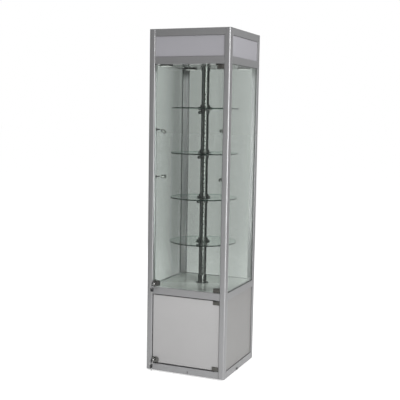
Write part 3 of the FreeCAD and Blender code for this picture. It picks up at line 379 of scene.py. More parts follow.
def stand(at: Any, up: Any = UP, right: Any = RIGHT) -> np.ndarray:
    """Matrix that puts z along up and x along right, with its origin at a point.

    Args:
        at: the point.
        up: where z goes.
        right: where x goes, made square to up.

    Returns:
        A 4 by 4 matrix.
    """
    z = np.array(up, float) / np.linalg.norm(up)
    x = np.array(right, float) - np.dot(right, z) * z
    x /= np.linalg.norm(x)
    matrix = np.eye(4)
    matrix[:3, :3] = np.stack([x, np.cross(z, x), z], axis=1)
    matrix[:3, 3] = at
    return matrix


def square_places(inset: float) -> list[np.ndarray]:
    """Matrices of the four corners of a square on the floor, at a distance each way."""
    return [stand((x, y, 0)) for x in (-inset, inset) for y in (-inset, inset)]


def around(angle: float, radius: float = 1.0, height: float = 0.0) -> tuple[float, ...]:
    """The point at an angle in degrees from +X, or the level direction to it."""
    turn = math.radians(angle)
    return (math.cos(turn) * radius, math.sin(turn) * radius, height)


def linked(name: str, data: Any) -> bpy.types.Object:
    """A new object in the scene.

    Args:
        name: its name.
        data: its mesh, light or camera.

    Returns:
        The object.
    """
    made = bpy.data.objects.new(name, data)
    bpy.context.scene.collection.objects.link(made)
    return made


def mesh_of(name: str, shell: Shell) -> bpy.types.Mesh:
    """A mesh in metres, its doubles merged and its creases sharp.

    Points are the same where a thousand times their place, rounded, is the same.

    Args:
        name: name of the mesh.
        shell: its surface.

    Returns:
        The mesh.
    """
    keys = np.round(shell.points * MERGE_STEPS + MERGE_SHIFT).astype(np.int64)
    _, first, where = np.unique(keys, axis=0, return_index=True, return_inverse=True)
    faces = where.reshape(-1)[shell.faces]
    keep = faces != np.roll(faces, 1, axis=1)
    whole = keep.sum(axis=1) >= 3
    faces, keep, finish = faces[whole], keep[whole], shell.finish[whole]
    loops = faces[keep]
    mesh = bpy.data.meshes.new(name)
    mesh.vertices.add(len(first))
    mesh.vertices.foreach_set("co", (shell.points[first] * MILLIMETRE).ravel())
    mesh.loops.add(len(loops))
    mesh.loops.foreach_set("vertex_index", loops.astype(np.int32))
    mesh.polygons.add(len(faces))
    starts = np.concatenate([[0], np.cumsum(keep.sum(axis=1))[:-1]])
    mesh.polygons.foreach_set("loop_start", starts.astype(np.int32))
    mesh.polygons.foreach_set("material_index", finish.astype(np.int32))
    mesh.polygons.foreach_set("use_smooth", np.ones(len(faces), bool))
    mesh.update(calc_edges=True)
    mesh.set_sharp_from_angle(angle=CREASE)
    return mesh


def piece(
    name: str,
    shell: Shell,
    finishes: Sequence[bpy.types.Material],
    body: str,
    slot: str,
    *replaces: str,
) -> bpy.types.Object:
    """A piece of the cabinet, on the body that carries it.

    Args:
        name: name of the piece.
        shell: its surface in millimetres.
        finishes: its materials, by the numbers of the shell's finishes.
        body: the body that it moves with.
        slot: a material slot's name; not used.
        replaces: the nodes that it stands for.

    Returns:
        The object.
    """
    mesh = mesh_of(name, shell)
    for finish in finishes:
        mesh.materials.append(finish)
    made = linked(name, mesh)
    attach(made, body)
    if replaces:
        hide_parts(*replaces)
    log.info("%s: %d faces on %s", name, len(mesh.polygons), body)
    return made


def dress(node: str, finish: bpy.types.Material, edge: float = 0.0) -> None:
    """Give a node its finish and, where an edge is given, fine rounded edges.

    Args:
        node: name of the node.
        finish: its material.
        edge: width of the rounding in millimetres.
    """
    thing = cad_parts[node]
    thing.data.materials.clear()
    thing.data.materials.append(finish)
    if edge:
        weld = thing.modifiers.new("Weld", "WELD")
        weld.merge_threshold = 0.00001
        bevel = thing.modifiers.new("Edges", "BEVEL")
        bevel.width = edge * MILLIMETRE
        bevel.segments = 2
        bevel.limit_method = "ANGLE"
        bevel.angle_limit = math.radians(40)
        bevel.harden_normals = False
    log.info("%s dressed in %s", node, finish.name)


# --------------------------------------------------------------------------- recipes


def operator(operation: str, swapped: bool = False) -> Callable[..., "Value"]:
    """A method that adds one Math node and hands over its result.

    Args:
        operation: the node's operation.
        swapped: whether the other number comes first.

    Returns:
        The method.
    """

    def method(self: "Value", other: Any = 0.0) -> "Value":
        """The operation on this value and another.

        Args:
            other: a value or a number.

        Returns:
            The result.
        """
        first, second = (other, self) if swapped else (self, other)
        sockets = {0: first, 1: second}
        made = self.recipe.node("ShaderNodeMath", {"operation": operation}, sockets)
        return Value(self.recipe, made.outputs[0])

    return method


@dataclass(eq=False)
class Value:
    """A number in a material's nodes, which can be used in sums."""

    recipe: "Recipe"
    socket: bpy.types.NodeSocket

    __add__ = __radd__ = operator("ADD")
    __sub__ = operator("SUBTRACT")
    __rsub__ = operator("SUBTRACT", swapped=True)
    __mul__ = __rmul__ = operator("MULTIPLY")
    __truediv__ = operator("DIVIDE")
    __rtruediv__ = operator("DIVIDE", swapped=True)
    __pow__ = operator("POWER")
    __gt__ = operator("GREATER_THAN")
    __abs__ = operator("ABSOLUTE")
    wave = operator("SINE")
    most = operator("MAXIMUM")


class Recipe:
    """The nodes of one material, or of the world."""

    def __init__(self, name: str, kind: str = "Material") -> None:
        """Start it empty, but for its output.

        Args:
            name: name of the material or world.
            kind: Material or World.
        """
        owners = bpy.data.worlds if kind == "World" else bpy.data.materials
        self.owner = owners.new(name)
        self.owner.use_nodes = True
        self.tree = self.owner.node_tree
        self.tree.nodes.clear()
        self.output = self.node(f"ShaderNodeOutput{kind}")

    def node(
        self,
        kind: str,
        settings: dict[str, Any] | None = None,
        sockets: dict[str | int, Any] | None = None,
    ) -> bpy.types.Node:
        """One node.

        Args:
            kind: its type.
            settings: its properties, set first.
            sockets: values or links of its inputs, by name or number.

        Returns:
            The node.
        """
        made = self.tree.nodes.new(kind)
        for name, value in (settings or {}).items():
            setattr(made, name, value)
        for name, value in (sockets or {}).items():
            socket = made.inputs[name]
            if isinstance(value, Value):
                value = value.socket
            if isinstance(value, bpy.types.NodeSocket):
                self.tree.links.new(value, socket)
            elif isinstance(value, tuple) and socket.type == "RGBA":
                socket.default_value = (*value[:3], 1.0)
            else:
                socket.default_value = value
        return made

    def made(self, kind: str, **sockets: Any) -> bpy.types.NodeSocket:
        """First output of a node, its sockets named with underscores for spaces."""
        named = {name.replace("_", " "): value for name, value in sockets.items()}
        return self.node(f"ShaderNode{kind}", None, named).outputs[0]

    def place(self, kind: str = "Object") -> bpy.types.NodeSocket:
        """Where on the object, in metres, or another of its coordinates."""
        return self.node("ShaderNodeTexCoord").outputs[kind]

    def axes(self, vector: bpy.types.NodeSocket) -> list[Value]:
        """The three numbers of a vector."""
        split = self.node("ShaderNodeSeparateXYZ", None, {0: vector})
        return [Value(self, socket) for socket in split.outputs]

    def rays(self) -> list[Value]:
        """Where a ray comes from.

        Returns:
            1 or 0 each: from the camera, from a mirror, through glass.
        """
        path = self.node("ShaderNodeLightPath").outputs
        kinds = ("Camera", "Glossy", "Transmission")
        return [Value(self, path[f"Is {kind} Ray"]) for kind in kinds]

    def noise(
        self, scale: float, stretch: Colour = (1, 1, 1), detail: float = 2.0, rough: float = 0.5
    ) -> Value:
        """Cloudy noise from 0 to 1.

        Args:
            scale: waves per metre.
            stretch: how much finer it is along each axis.
            detail: finer layers.
            rough: weight of the finer layers.

        Returns:
            The noise.
        """
        laid = self.made("Mapping", Vector=self.place(), Scale=stretch)
        cloud = self.made("TexNoise", Vector=laid, Scale=scale, Detail=detail, Roughness=rough)
        return Value(self, cloud)

    def tones(self, amount: Value, colour: Colour, low: float, high: float) -> Any:
        """A colour between its darker and its lighter tone, by an amount from 0 to 1."""
        ends = {0: amount, 6: lighter(colour, low), 7: lighter(colour, high)}
        return self.node("ShaderNodeMix", {"data_type": "RGBA"}, ends).outputs[2]

    def relief(self, height: Value, depth: float) -> bpy.types.NodeSocket:
        """Normal of a surface with fine relief of that depth in millimetres."""
        return self.made("Bump", Height=height, Distance=depth * MILLIMETRE, Strength=1.0)

    def mixed(self, amount: Any, first: Any, second: Any) -> bpy.types.NodeSocket:
        """A shader between two, by an amount from 0 to 1."""
        ends = {0: amount, 1: first, 2: second}
        return self.node("ShaderNodeMixShader", None, ends).outputs[0]

    def done(self, shader: bpy.types.NodeSocket) -> Any:
        """Connect the shader and hand over the material."""
        self.tree.links.new(shader, self.output.inputs["Surface"])
        return self.owner

    def skin(self, **sockets: Any) -> bpy.types.Material:
        """The material with a Principled node of these sockets alone."""
        return self.done(self.made("BsdfPrincipled", **sockets))


def lighter(colour: Colour, share: float) -> Colour:
    """The colour with each part times a share, at most 1."""
    return tuple(min(1.0, part * share) for part in colour)


class Run(Enum):
    """Which way the fine lines of a drawn profile run."""

    UPRIGHT = "upright"
    LEVEL = "level"


@dataclass(frozen=True)
class Anodised:
    """Satin anodised aluminium, with the fine lines that its drawing leaves."""

    name: str
    run: Run
    colour: Colour = (0.30, 0.30, 0.305)
    metallic: float = 0.5
    roughness: float = 0.28
    line_depth: float = 0.012

    def make(self) -> bpy.types.Material:
        """Make it.

        Returns:
            The material.
        """
        recipe = Recipe(self.name)
        if self.run is Run.UPRIGHT:
            lines = recipe.noise(900, (1, 1, 0.004), 3.0, 0.6)
        else:
            across = recipe.noise(900, (0.004, 1, 1), 3.0, 0.6)
            along = recipe.noise(900, (1, 0.004, 1), 3.0, 0.6)
            x, y, _ = recipe.axes(recipe.place())
            lines = across + (along - across) * (abs(x) > abs(y))
        cloud = recipe.noise(9, (1, 1, 0.35), 2.0)
        scuff = recipe.noise(60, (1, 1, 1), 4.0, 0.7)
        return recipe.skin(
            Base_Color=recipe.tones(
                lines * 0.5 + cloud * 0.35 + scuff * 0.15, self.colour, 0.86, 1.12
            ),
            Metallic=self.metallic,
            Roughness=lines * 0.10 + scuff * 0.06 + self.roughness,
            Normal=recipe.relief(lines, self.line_depth),
        )


@dataclass(frozen=True)
class PaintedPanel:
    """Satin grey sheet or laminate: a faint orange peel and a soft gloss."""

    name: str
    colour: Colour
    roughness: float = 0.38
    peel: float = 0.02
    coat: float = 0.0

    def make(self) -> bpy.types.Material:
        """Make it.

        Returns:
            The material.
        """
        recipe = Recipe(self.name)
        cloud = recipe.noise(5, detail=3.0, rough=0.6)
        fleck = recipe.noise(1600, detail=1.0)
        return recipe.skin(
            Base_Color=recipe.tones(cloud * 0.7 + fleck * 0.3, self.colour, 0.95, 1.05),
            Roughness=cloud * 0.08 + (self.roughness - 0.04),
            Normal=recipe.relief(recipe.noise(420), self.peel),
            Coat_Weight=self.coat,
            Coat_Roughness=0.06,
        )


@dataclass(frozen=True)
class Plating:
    """Plated or bare metal with a fine mottle and faint handling marks."""

    name: str
    colour: Colour
    roughness: float
    metallic: float = 1.0
    brushed: bool = False
    mottle: float = 0.18

    def make(self) -> bpy.types.Material:
        """Make it.

        Returns:
            The material.
        """
        recipe = Recipe(self.name)
        cloud = recipe.noise(45, detail=4.0, rough=0.6)
        fine = recipe.noise(700, (1, 1, 14) if self.brushed else (1, 1, 1))
        tone, low, high = cloud * 0.6 + fine * 0.4, 1 - self.mottle, 1 + self.mottle
        return recipe.skin(
            Base_Color=recipe.tones(tone, self.colour, low, high),
            Metallic=self.metallic,
            Roughness=cloud * 0.16 + (self.roughness - 0.08),
            Normal=recipe.relief(fine, 0.006 if self.brushed else 0.003),
        )


@dataclass(frozen=True)
class Moulded:
    """Moulded plastic or rubber with a fine spark-eroded grain."""

    name: str
    colour: Colour
    roughness: float = 0.45
    grain: float = 0.02

    def make(self) -> bpy.types.Material:
        """Make it.

        Returns:
            The material.
        """
        recipe = Recipe(self.name)
        grain = recipe.noise(1500, rough=0.6)
        wear = recipe.noise(80, detail=4.0, rough=0.65)
        return recipe.skin(
            Base_Color=recipe.tones(wear * 0.6 + grain * 0.4, self.colour, 0.8, 1.25),
            Roughness=wear * 0.2 + (self.roughness - 0.1),
            Normal=recipe.relief(grain, self.grain),
        )


@dataclass(frozen=True)
class FrostedLens:
    """Frosted cover of a light, with fine rings round its own centre.

    Attributes:
        centres: how far the lights' centres lie from both middle planes, in metres.
    """

    name: str
    centres: float
    colour: Colour = (0.74, 0.75, 0.73)
    waves: float = 3100

    def make(self) -> bpy.types.Material:
        """Make it.

        Returns:
            The material.
        """
        recipe = Recipe(self.name)
        x, y, _ = recipe.axes(recipe.place())
        out_x, out_y = abs(x) - self.centres, abs(y) - self.centres
        rings = ((out_x**2 + out_y**2) ** 0.5 * self.waves).wave() * 0.5 + 0.5
        haze = recipe.noise(120, detail=3.0)
        return recipe.skin(
            Base_Color=recipe.tones(rings * 0.5 + haze * 0.5, self.colour, 0.9, 1.06),
            Roughness=haze * 0.2 + 0.25,
            Emission_Color=(1.0, 0.99, 0.96),
            Emission_Strength=0.35,
            Normal=recipe.relief(rings, 0.15),
        )


@dataclass(frozen=True)
class PaneGlass:
    """Float glass: a tint through each face and a mirror share that grows at grazing angles.

    The mirror share is 0.036 + gloss times (1 - cosine of the angle) to the fifth power.
    Where an axis, two places and a share are given, the tint changes along that axis with the
    square of the way from one place to the next, to its last number's share: painted shade and
    painted light, the darker and lighter bands that reflections give across a pane, not a change
    in the glass.
    """

    name: str
    tint: Colour
    gloss: float = 0.8
    cut_edges: bool = False
    painted_shading: tuple[int, float, float, float] | None = None
    # Partly the cut edge's own green, partly a painted highlight.
    edge_colour_and_highlight: Colour = (0.52, 0.58, 0.555)

    def make(self) -> bpy.types.Material:
        """Make it.

        Returns:
            The material.
        """
        recipe = Recipe(self.name)
        weight = recipe.node("ShaderNodeLayerWeight", None, {"Blend": 0.5})
        facing = Value(recipe, weight.outputs["Facing"])
        smear = recipe.noise(14, detail=3.0, rough=0.6)
        through = recipe.made("BsdfTransparent", Color=self.tint)
        # Painted shade and light: the tint darkens or lightens across the pane along one axis.
        if self.painted_shading:
            axis, start, end, share = self.painted_shading
            way = (recipe.axes(recipe.place())[axis] - start) / (end - start)
            deep = recipe.made("BsdfTransparent", Color=lighter(self.tint, share))
            through = recipe.mixed(way**2, through, deep)
        shine = recipe.made("BsdfGlossy", Color=(0.96, 1.0, 0.98), Roughness=0.015)
        pane = recipe.mixed(facing**5 * self.gloss + 0.036 + smear * 0.008, through, shine)
        # Cut edges in a light green-grey: partly the glass edge's own colour, partly a painted
        # highlight for the bright line along the door's edge.
        if self.cut_edges:
            _, y, _ = recipe.axes(recipe.place("Normal"))
            look = {"Base_Color": self.edge_colour_and_highlight, "Roughness": 0.25, "Coat_Weight": 0.4}
            cut = recipe.made("BsdfPrincipled", **look)
            pane = recipe.mixed(1 - (abs(y) > 0.6), pane, cut)
        return recipe.done(pane)


@dataclass(frozen=True)
class GlassRim:
    """Ground and polished rim of a round shelf: deep green, and nearly clear from inside."""

    name: str
    colour: Colour = (0.003, 0.011, 0.008)
    inner_tint: Colour = (0.78, 0.88, 0.83)
    inner_share: float = 0.9

    def make(self) -> bpy.types.Material:
        """Make it.

        Returns:
            The material.
        """
        recipe = Recipe(self.name)
        band = recipe.noise(30, (1, 1, 4), 3.0)
        skin = recipe.made(
            "BsdfPrincipled",
            Base_Color=recipe.tones(band, self.colour, 0.5, 2.2),
            Roughness=band * 0.1 + 0.08,
            Specular_IOR_Level=0.1,
            Normal=recipe.relief(band, 0.02),
        )
        inside = Value(recipe, recipe.node("ShaderNodeNewGeometry").outputs["Backfacing"])
        clear = recipe.made("BsdfTransparent", Color=self.inner_tint)
        return recipe.done(recipe.mixed(inside * self.inner_share, skin, clear))


def new(finish: Any) -> Any:
    """A field that holds the finish's material."""
    return field(default_factory=finish.make)


TINT = (0.778, 0.796, 0.784)
Finish = bpy.types.Material


@dataclass
class Finishes:
    """All finishes of the cabinet, made once."""

    post: Finish = new(Anodised("anodised_upright", Run.UPRIGHT))
    rail: Finish = new(Anodised("anodised_level", Run.LEVEL))
    header_panel: Finish = new(PaintedPanel("header_grey", (0.345, 0.34, 0.365)))
    # The cupboard panels are the header's grey board, darker here: painted shade on the lower
    # panels.
    cupboard_panel: Finish = new(PaintedPanel("grey_panel_shaded", (0.26, 0.255, 0.25)))
    door_panel: Finish = new(PaintedPanel("door_grey", (0.405, 0.40, 0.40)))
    deck: Finish = new(PaintedPanel("deck_laminate", (0.38, 0.395, 0.375), 0.24, 0.006, 0.7))
    ceiling: Finish = new(
        PaintedPanel("ceiling_laminate", (0.17, 0.168, 0.166), 0.18, 0.005, 0.3)
    )
    zinc: Finish = new(Plating("zinc_plate", (0.42, 0.43, 0.44), 0.38))
    dark_chrome: Finish = new(Plating("smoked_chrome", (0.34, 0.35, 0.34), 0.11))
    bright_chrome: Finish = new(Plating("bright_chrome", (0.62, 0.62, 0.61), 0.16))
    case_chrome: Finish = new(Plating("case_chrome", (0.12, 0.12, 0.115), 0.2))
    gunmetal: Finish = new(Plating("gunmetal", (0.075, 0.075, 0.072), 0.34, 0.8))
    clamp_metal: Finish = new(Plating("clamp_metal", (0.10, 0.098, 0.09), 0.34, 0.8))
    # Near black: painted shade inside the column's holes, countersinks and tube.
    tube_inside_shade: Finish = new(Plating("tube_inside_painted_shade", (0.022, 0.022, 0.022), 0.55, 0.3))
    collar_chrome: Finish = new(Plating("collar_chrome", (0.27, 0.275, 0.27), 0.13))
    steel: Finish = new(Plating("bright_steel", (0.45, 0.45, 0.44), 0.3, brushed=True))
    black: Finish = new(Moulded("black_plastic", (0.016, 0.016, 0.017)))
    motor_paint: Finish = new(Moulded("black_paint", (0.028, 0.028, 0.03), 0.35))
    rubber: Finish = new(Moulded("foot_rubber", (0.02, 0.02, 0.02), 0.7, 0.05))
    seal: Finish = new(Moulded("glazing_seal", (0.09, 0.092, 0.09), 0.6, 0.03))
    # Lighter copy of the glazing seal: painted light on the left side's beads.
    seal_painted_light: Finish = new(Moulded("seal_painted_light", (0.34, 0.35, 0.345), 0.5, 0.03))
    lens: Finish = new(FrostedLens("frosted_lens", LIGHT_INSET * MILLIMETRE))
    # The left, right and back panes carry painted shade and painted light: their tints grow darker
    # or lighter across them.
    left_pane: Finish = new(
        PaneGlass("left_glass", (0.82, 0.838, 0.828), painted_shading=(1, -0.18, 0.09, 0.755))
    )
    right_pane: Finish = new(PaneGlass("right_glass", TINT, painted_shading=(1, -0.2, 0.2, 1.14)))
    back_pane: Finish = new(PaneGlass("back_glass", TINT, painted_shading=(0, -0.06, -0.16, 0.94)))
    door_pane: Finish = new(PaneGlass("door_glass", TINT, cut_edges=True))
    shelf_glass: Finish = new(PaneGlass("shelf_glass", (0.965, 0.985, 0.975), 0.3))
    shelf_rim: Finish = new(GlassRim("shelf_rim"))


# -------------------------------------------------------------------------- cabinet


@dataclass
class Assembly:
    """A sub-assembly of the cabinet, in the cabinet's finishes."""

    finishes: Finishes


@dataclass
class Carcass(Assembly):
    """Posts, rails, boards and fixed panels of the tower.

    Attributes:
        clear_width: width between the posts.
        panel_faces: inner and outer face of a fixed panel, from the middle plane.
        bead: section of a glazing seal.
    """

    clear_width: float = 428.0
    panel_faces: tuple[float, float] = (239.0, 244.0)
    bead: tuple[tuple[float, float], ...] = (
        (0.0, 0.0), (0.0, 1.6), (0.7, 1.5), (1.7, 0.5), (1.8, 0.0)
    )

    def post(self, slots: Sequence[tuple[float, float]] = ()) -> Shell:
        """A post with its outer corner towards +X and +Y: profile and two end caps.

        The outer corner is a quarter circle, the two glazing grooves are cut square, the
        edges beside the rails are bevelled, and the section is carried straight from the
        lower cap to the upper one. A slot is a notch in the face at X = 0, which has no
        depth above and below it.

        Args:
            slots: underside and top of each slot for a lock's cam.

        Returns:
            The post.
        """
        side, corner, groove, near, far = 36.0, 10.0, 8.0, 30.5, 24.5
        slot_low, slot_high, slot_depth = 15.5, 19.9, 12.0
        foot, head = 12.4, 2007.6
        turn = np.linspace(0, math.pi / 2, 9)
        round_corner = side - corner + corner * np.stack([np.cos(turn), np.sin(turn)], -1)
        half = [(side, 20), (side, 2.4), (side - 1.8, 0)]
        half += [(near, 0), (near, groove), (far, groove), (far, 0)]
        edge = softened([*half, (0, 0), *((y, x) for x, y in reversed(half))], 0.45, 2)
        beside = np.flatnonzero((edge[:, 0] < 1e-6) & (edge[:, 1] > 20))[0]
        steps = [(foot, 0.0)]
        for low, high in slots:
            steps += [(low, 0.0), (low, slot_depth), (high, slot_depth), (high, 0.0)]
        steps.append((head, 0.0))
        rings = []
        for _, depth in steps:
            notch = [(0, slot_low), (depth, slot_low), (depth, slot_high), (0, slot_high)]
            rings.append(np.vstack([round_corner, np.insert(edge, beside, notch, axis=0)[::-1]]))
        centre = rings[0].mean(axis=0) + 0 * rings[0]
        section = np.stack([centre, *rings, centre]) - side / 2
        profile = woven(lifted(section, [foot, *(height for height, _ in steps), head]))
        cap = slab(side, side, 3.0, (corner, 0.8, 0.8, 0.8), 0.4)
        return joined([profile, cap.put(stand((0, 0, 10.0))), cap.put(stand((0, 0, 2007.0)))])

    def frame_members(self) -> None:
        """Make the posts and dress the rails."""
        below, above = 6.2, 23.2
        axes = [low + LOCK_RISE for low, _ in (CUPBOARD, DISPLAY)]
        slots = [(axis - below, axis + above) for axis in axes]
        off = 232.0
        for name, x, y, right in (
            ("front_left", -off, -off, LEFT),
            ("front_right", off, -off, FRONT),
            ("back_left", -off, off, BACK),
            ("back_right", off, off, RIGHT),
        ):
            post = self.post(slots if name == "front_left" else ())
            post = post.put(stand((x, y, 0.0), UP, right))
            looks = [self.finishes.post]
            piece(f"corner_post_{name}", post, looks, "cabinet", "frame", f"post_{name}")
        for level in ("top", "header", "middle", "base"):
            dress(f"{level}_rails", self.finishes.rail, 0.35)
        dress("rail_connectors", self.finishes.zinc)

    def boards(self) -> None:
        """Dress the boards, the fixed panels and the glass."""
        for node in ("roof_board", "ceiling_board", "cupboard_floor"):
            dress(node, self.finishes.ceiling, 0.4)
        dress("deck_board", self.finishes.deck, 0.4)
        for node in ("header_panel_front", "header_panel_back", "header_panels_side"):
            dress(node, self.finishes.header_panel)
        for side in ("left", "right", "back"):
            dress(f"cupboard_panel_{side}", self.finishes.cupboard_panel)
            dress(f"display_glass_{side}", getattr(self.finishes, f"{side}_pane"))

    def seal_pair(self, outwards: Sequence[float], low: float, high: float) -> Shell:
        """The seal beads on both faces of a fixed panel.

        Args:
            outwards: direction from the panel to the outside.
            low: underside of its opening.
            high: top of its opening.

        Returns:
            The outer and the inner one.
        """
        out = np.array(outwards)
        middle = np.array([0, 0, (low + high) / 2])
        shell = surround(self.clear_width, high - low, self.bead)
        right = np.cross(UP, out)
        inner, outer = (middle + out * face for face in self.panel_faces)
        return joined([shell.put(stand(outer, out, right)), shell.put(stand(inner, -out, -right))])

    def seals(self) -> None:
        """Beads closing every fixed panel's grooves, the left side's lighter as painted light."""
        sides = (LEFT, RIGHT, BACK)
        for name, faces, opening in (
            ("display_glass_seals", sides, DISPLAY),
            ("cupboard_panel_seals", sides, CUPBOARD),
            ("header_panel_seals", (*sides, FRONT), HEADER),
        ):
            shells = [self.seal_pair(out, *opening) for out in faces]
            # The left side's beads take the lighter copy: painted light.
            shells[0].finish[:] = 1
            looks = [self.finishes.seal, self.finishes.seal_painted_light]
            piece(name, joined(shells), looks, "cabinet", "black")

    def gap_shade_strip(self) -> None:
        """Dark rubber stop under the middle rail: painted shade in the gap above the door."""
        # The cupboard door closes on this strip, which darkens the gap above the door as painted
        # shade.
        strip = slab(374, 8.0, 6.0, 0.8, 0.6).put(stand((-19.0, -234.4, 465.0)))
        piece("cupboard_door_stop_strip", strip, [self.finishes.rubber], "cabinet", "black")

    def build(self) -> None:
        """Dress and build everything of the carcass."""
        self.frame_members()
        self.gap_shade_strip()
        self.boards()
        self.seals()


@dataclass
class PerforatedColumn(Assembly):
    """The turning column: a tube with rows of round holes, its socket and its shaft.

    Attributes:
        radius: outside of the tube.
        wall: its wall.
        low: its lower end.
        high: its upper end.
        rows: rows of holes round it.
        count: holes in a row of the near half; one of the far half has one less.
        pitch: from hole to hole.
        first: height of the lowest holes.
        hole: radius of a hole.
        countersink: width and depth of the bevel round it.
        turn: direction of the first row from +X, in degrees.
    """

    radius: float = 23.0
    wall: float = 2.0
    low: float = 521.3
    high: float = 1802.0
    rows: int = 6
    count: int = 45
    pitch: float = 25.0
    first: float = 544.0
    hole: float = 3.5
    countersink: float = 0.7
    turn: float = -127.5

    def cell(self) -> np.ndarray:
        """Angle, height and radius of the points round one hole, in five rings of 16.

        Its rings blend from the hole's circle to the cell's border: the point at share k
        and angle p is (1 - k) hole (cos p, sin p) + k border(p), border(p) being
        (cos p, sin p) over the larger of the two sizes. Points beside a corner of the
        border go to a quarter of its side, where the plain ends have theirs.

        Returns:
            The points, by ring and place in it.
        """
        p = np.arange(16) * FULL_TURN / 16
        way = np.stack([np.cos(p), np.sin(p)], axis=-1)
        border = way / np.abs(way).max(axis=1)[:, None]
        beside_corner = np.abs(np.abs(border) - math.tan(math.pi / 8)) < 0.01
        border = np.where(beside_corner, np.sign(border) / 2, border)
        size = np.array([math.pi / self.rows, self.pitch / 2])
        share = np.array([1.0, 0.0, 0.0, 0.0, 1.0])[:, None, None]
        sink = self.countersink
        radius = self.radius - np.array([0.0, 0.0, sink, self.wall, self.wall])
        hole = self.hole + np.array([0.0, sink, 0.0, 0.0, 0.0])[:, None, None]
        circle = way[None] * hole / np.stack([radius, np.ones(5)], axis=-1)[:, None]
        return lifted((1 - share) * circle + share * (border * size)[None], radius)

    def patch(self, angles: np.ndarray, levels: Sequence[float], radius: float) -> Shell:
        """A plain piece of a cylinder.

        Args:
            angles: its directions; it faces outwards where they grow, else inwards.
            levels: its heights.
            radius: its radius.

        Returns:
            The piece.
        """
        angle, level = np.meshgrid(angles, levels)
        faces = quads(np.arange(angle.size).reshape(angle.shape)).reshape(-1, 4)
        points = polar(radius, angle, level).reshape(-1, 3)
        return Shell(points, faces, np.zeros(len(faces), int))

    def tube(self) -> Shell:
        """The whole tube: a cell for every hole and a plain band at either end.

        The rows of the far half stand half a pitch higher, so that no hole faces another.
        Whatever lies below the outer surface is in the second finish, a near black that paints
        the shade in the holes and inside the tube.

        Returns:
            The tube.
        """
        cell = self.cell()
        row, level = np.meshgrid(np.arange(self.rows), np.arange(self.count), indexing="ij")
        half = self.rows // 2
        kept = (row < half) | (level < self.count - 1)
        row, level = row[kept], level[kept] + 0.5 * (row[kept] >= half)
        start = math.radians(self.turn)
        angle = start + row.reshape(-1, 1, 1) * FULL_TURN / self.rows + cell[None, :, :, 0]
        height = self.first + level.reshape(-1, 1, 1) * self.pitch + cell[None, :, :, 1]
        points = polar(cell[None, :, :, 2], angle, height)
        pattern = woven(points[0]).faces
        first_points = np.arange(len(points))[:, None, None] * (pattern.max() + 1)
        faces = (pattern[None] + first_points).reshape(-1, 4)
        shells = [Shell(points.reshape(-1, 3), faces, np.zeros(len(faces), int))]
        inside = self.radius - self.wall
        bottom = self.first - self.pitch / 2
        top = bottom + self.count * self.pitch
        far = start + (half * 2 - 1 + np.arange(4 * half + 1) / 2) * math.pi / self.rows
        step = self.pitch / 4
        for middle in (bottom + step, top - step):
            levels = (middle - step, middle, middle + step)
            shells.append(self.patch(far, levels, self.radius))
            shells.append(self.patch(far[::-1], levels, inside))
        part = np.array([-1.0, -0.5, 0.0, 0.5])
        band = start + (np.arange(self.rows)[:, None] * 2 + part) * math.pi / self.rows
        for near, end, first, last in (
            (bottom, self.low, inside, self.radius),
            (top, self.high, self.radius, inside),
        ):
            path = pairs(first, near, first, end, last, end, last, near)
            shells.append(woven(polar(path[:, :1], band.ravel(), path[:, 1:])))
        whole = joined(shells)
        reach = np.linalg.norm(whole.points[:, :2], axis=1)[whole.faces].min(axis=1)
        # Faces below the outer surface take the near-black second finish: painted shade.
        whole.finish[reach < self.radius - 0.01] = 1
        return whole

    def true_normals(self, thing: bpy.types.Object) -> None:
        """Give the tube its exact normals.

        A corner's normal points away from the axis on the outside, to it on the inside,
        and across the wall in a hole; the face's own direction tells which it is.

        Args:
            thing: the finished tube.
        """
        mesh = thing.data
        points = np.empty(len(mesh.vertices) * 3)
        mesh.vertices.foreach_get("co", points)
        corners = np.empty(len(mesh.loops), np.int32)
        mesh.loops.foreach_get("vertex_index", corners)
        totals = np.empty(len(mesh.polygons), np.int32)
        mesh.polygons.foreach_get("loop_total", totals)
        flat = np.empty(len(mesh.polygons) * 3)
        mesh.polygons.foreach_get("normal", flat)
        flat = np.repeat(flat.reshape(-1, 3), totals, axis=0)
        out = points.reshape(-1, 3)[corners] * [1, 1, 0]
        out /= np.linalg.norm(out, axis=1)[:, None]
        share = (flat * out).sum(axis=1)[:, None]
        normals = np.where(np.abs(share) > 0.8, out * np.sign(share), flat)
        mesh.normals_split_custom_set(normals.tolist())

    def socket(self) -> Shell:
        """Socket that grips the column's foot.

        Returns:
            It, with the screws of its flange.
        """
        path = (6.2, 4, 6.2, 0, 38, 0, 38, 3, 26, 3, 26, 48, 23.05, 48, 23.05, 8, 6.2, 8, 6.2, 4)
        screw = cap_screw(3.2, 2.2, 1.5)
        screws = [screw.put(stand(around(turn, 33.2, 2.9))) for turn in (-127.5, -7.5, 112.5)]
        return joined([spun(64, 0.8, *path), *screws]).put(stand((0, 0, 513.3)))

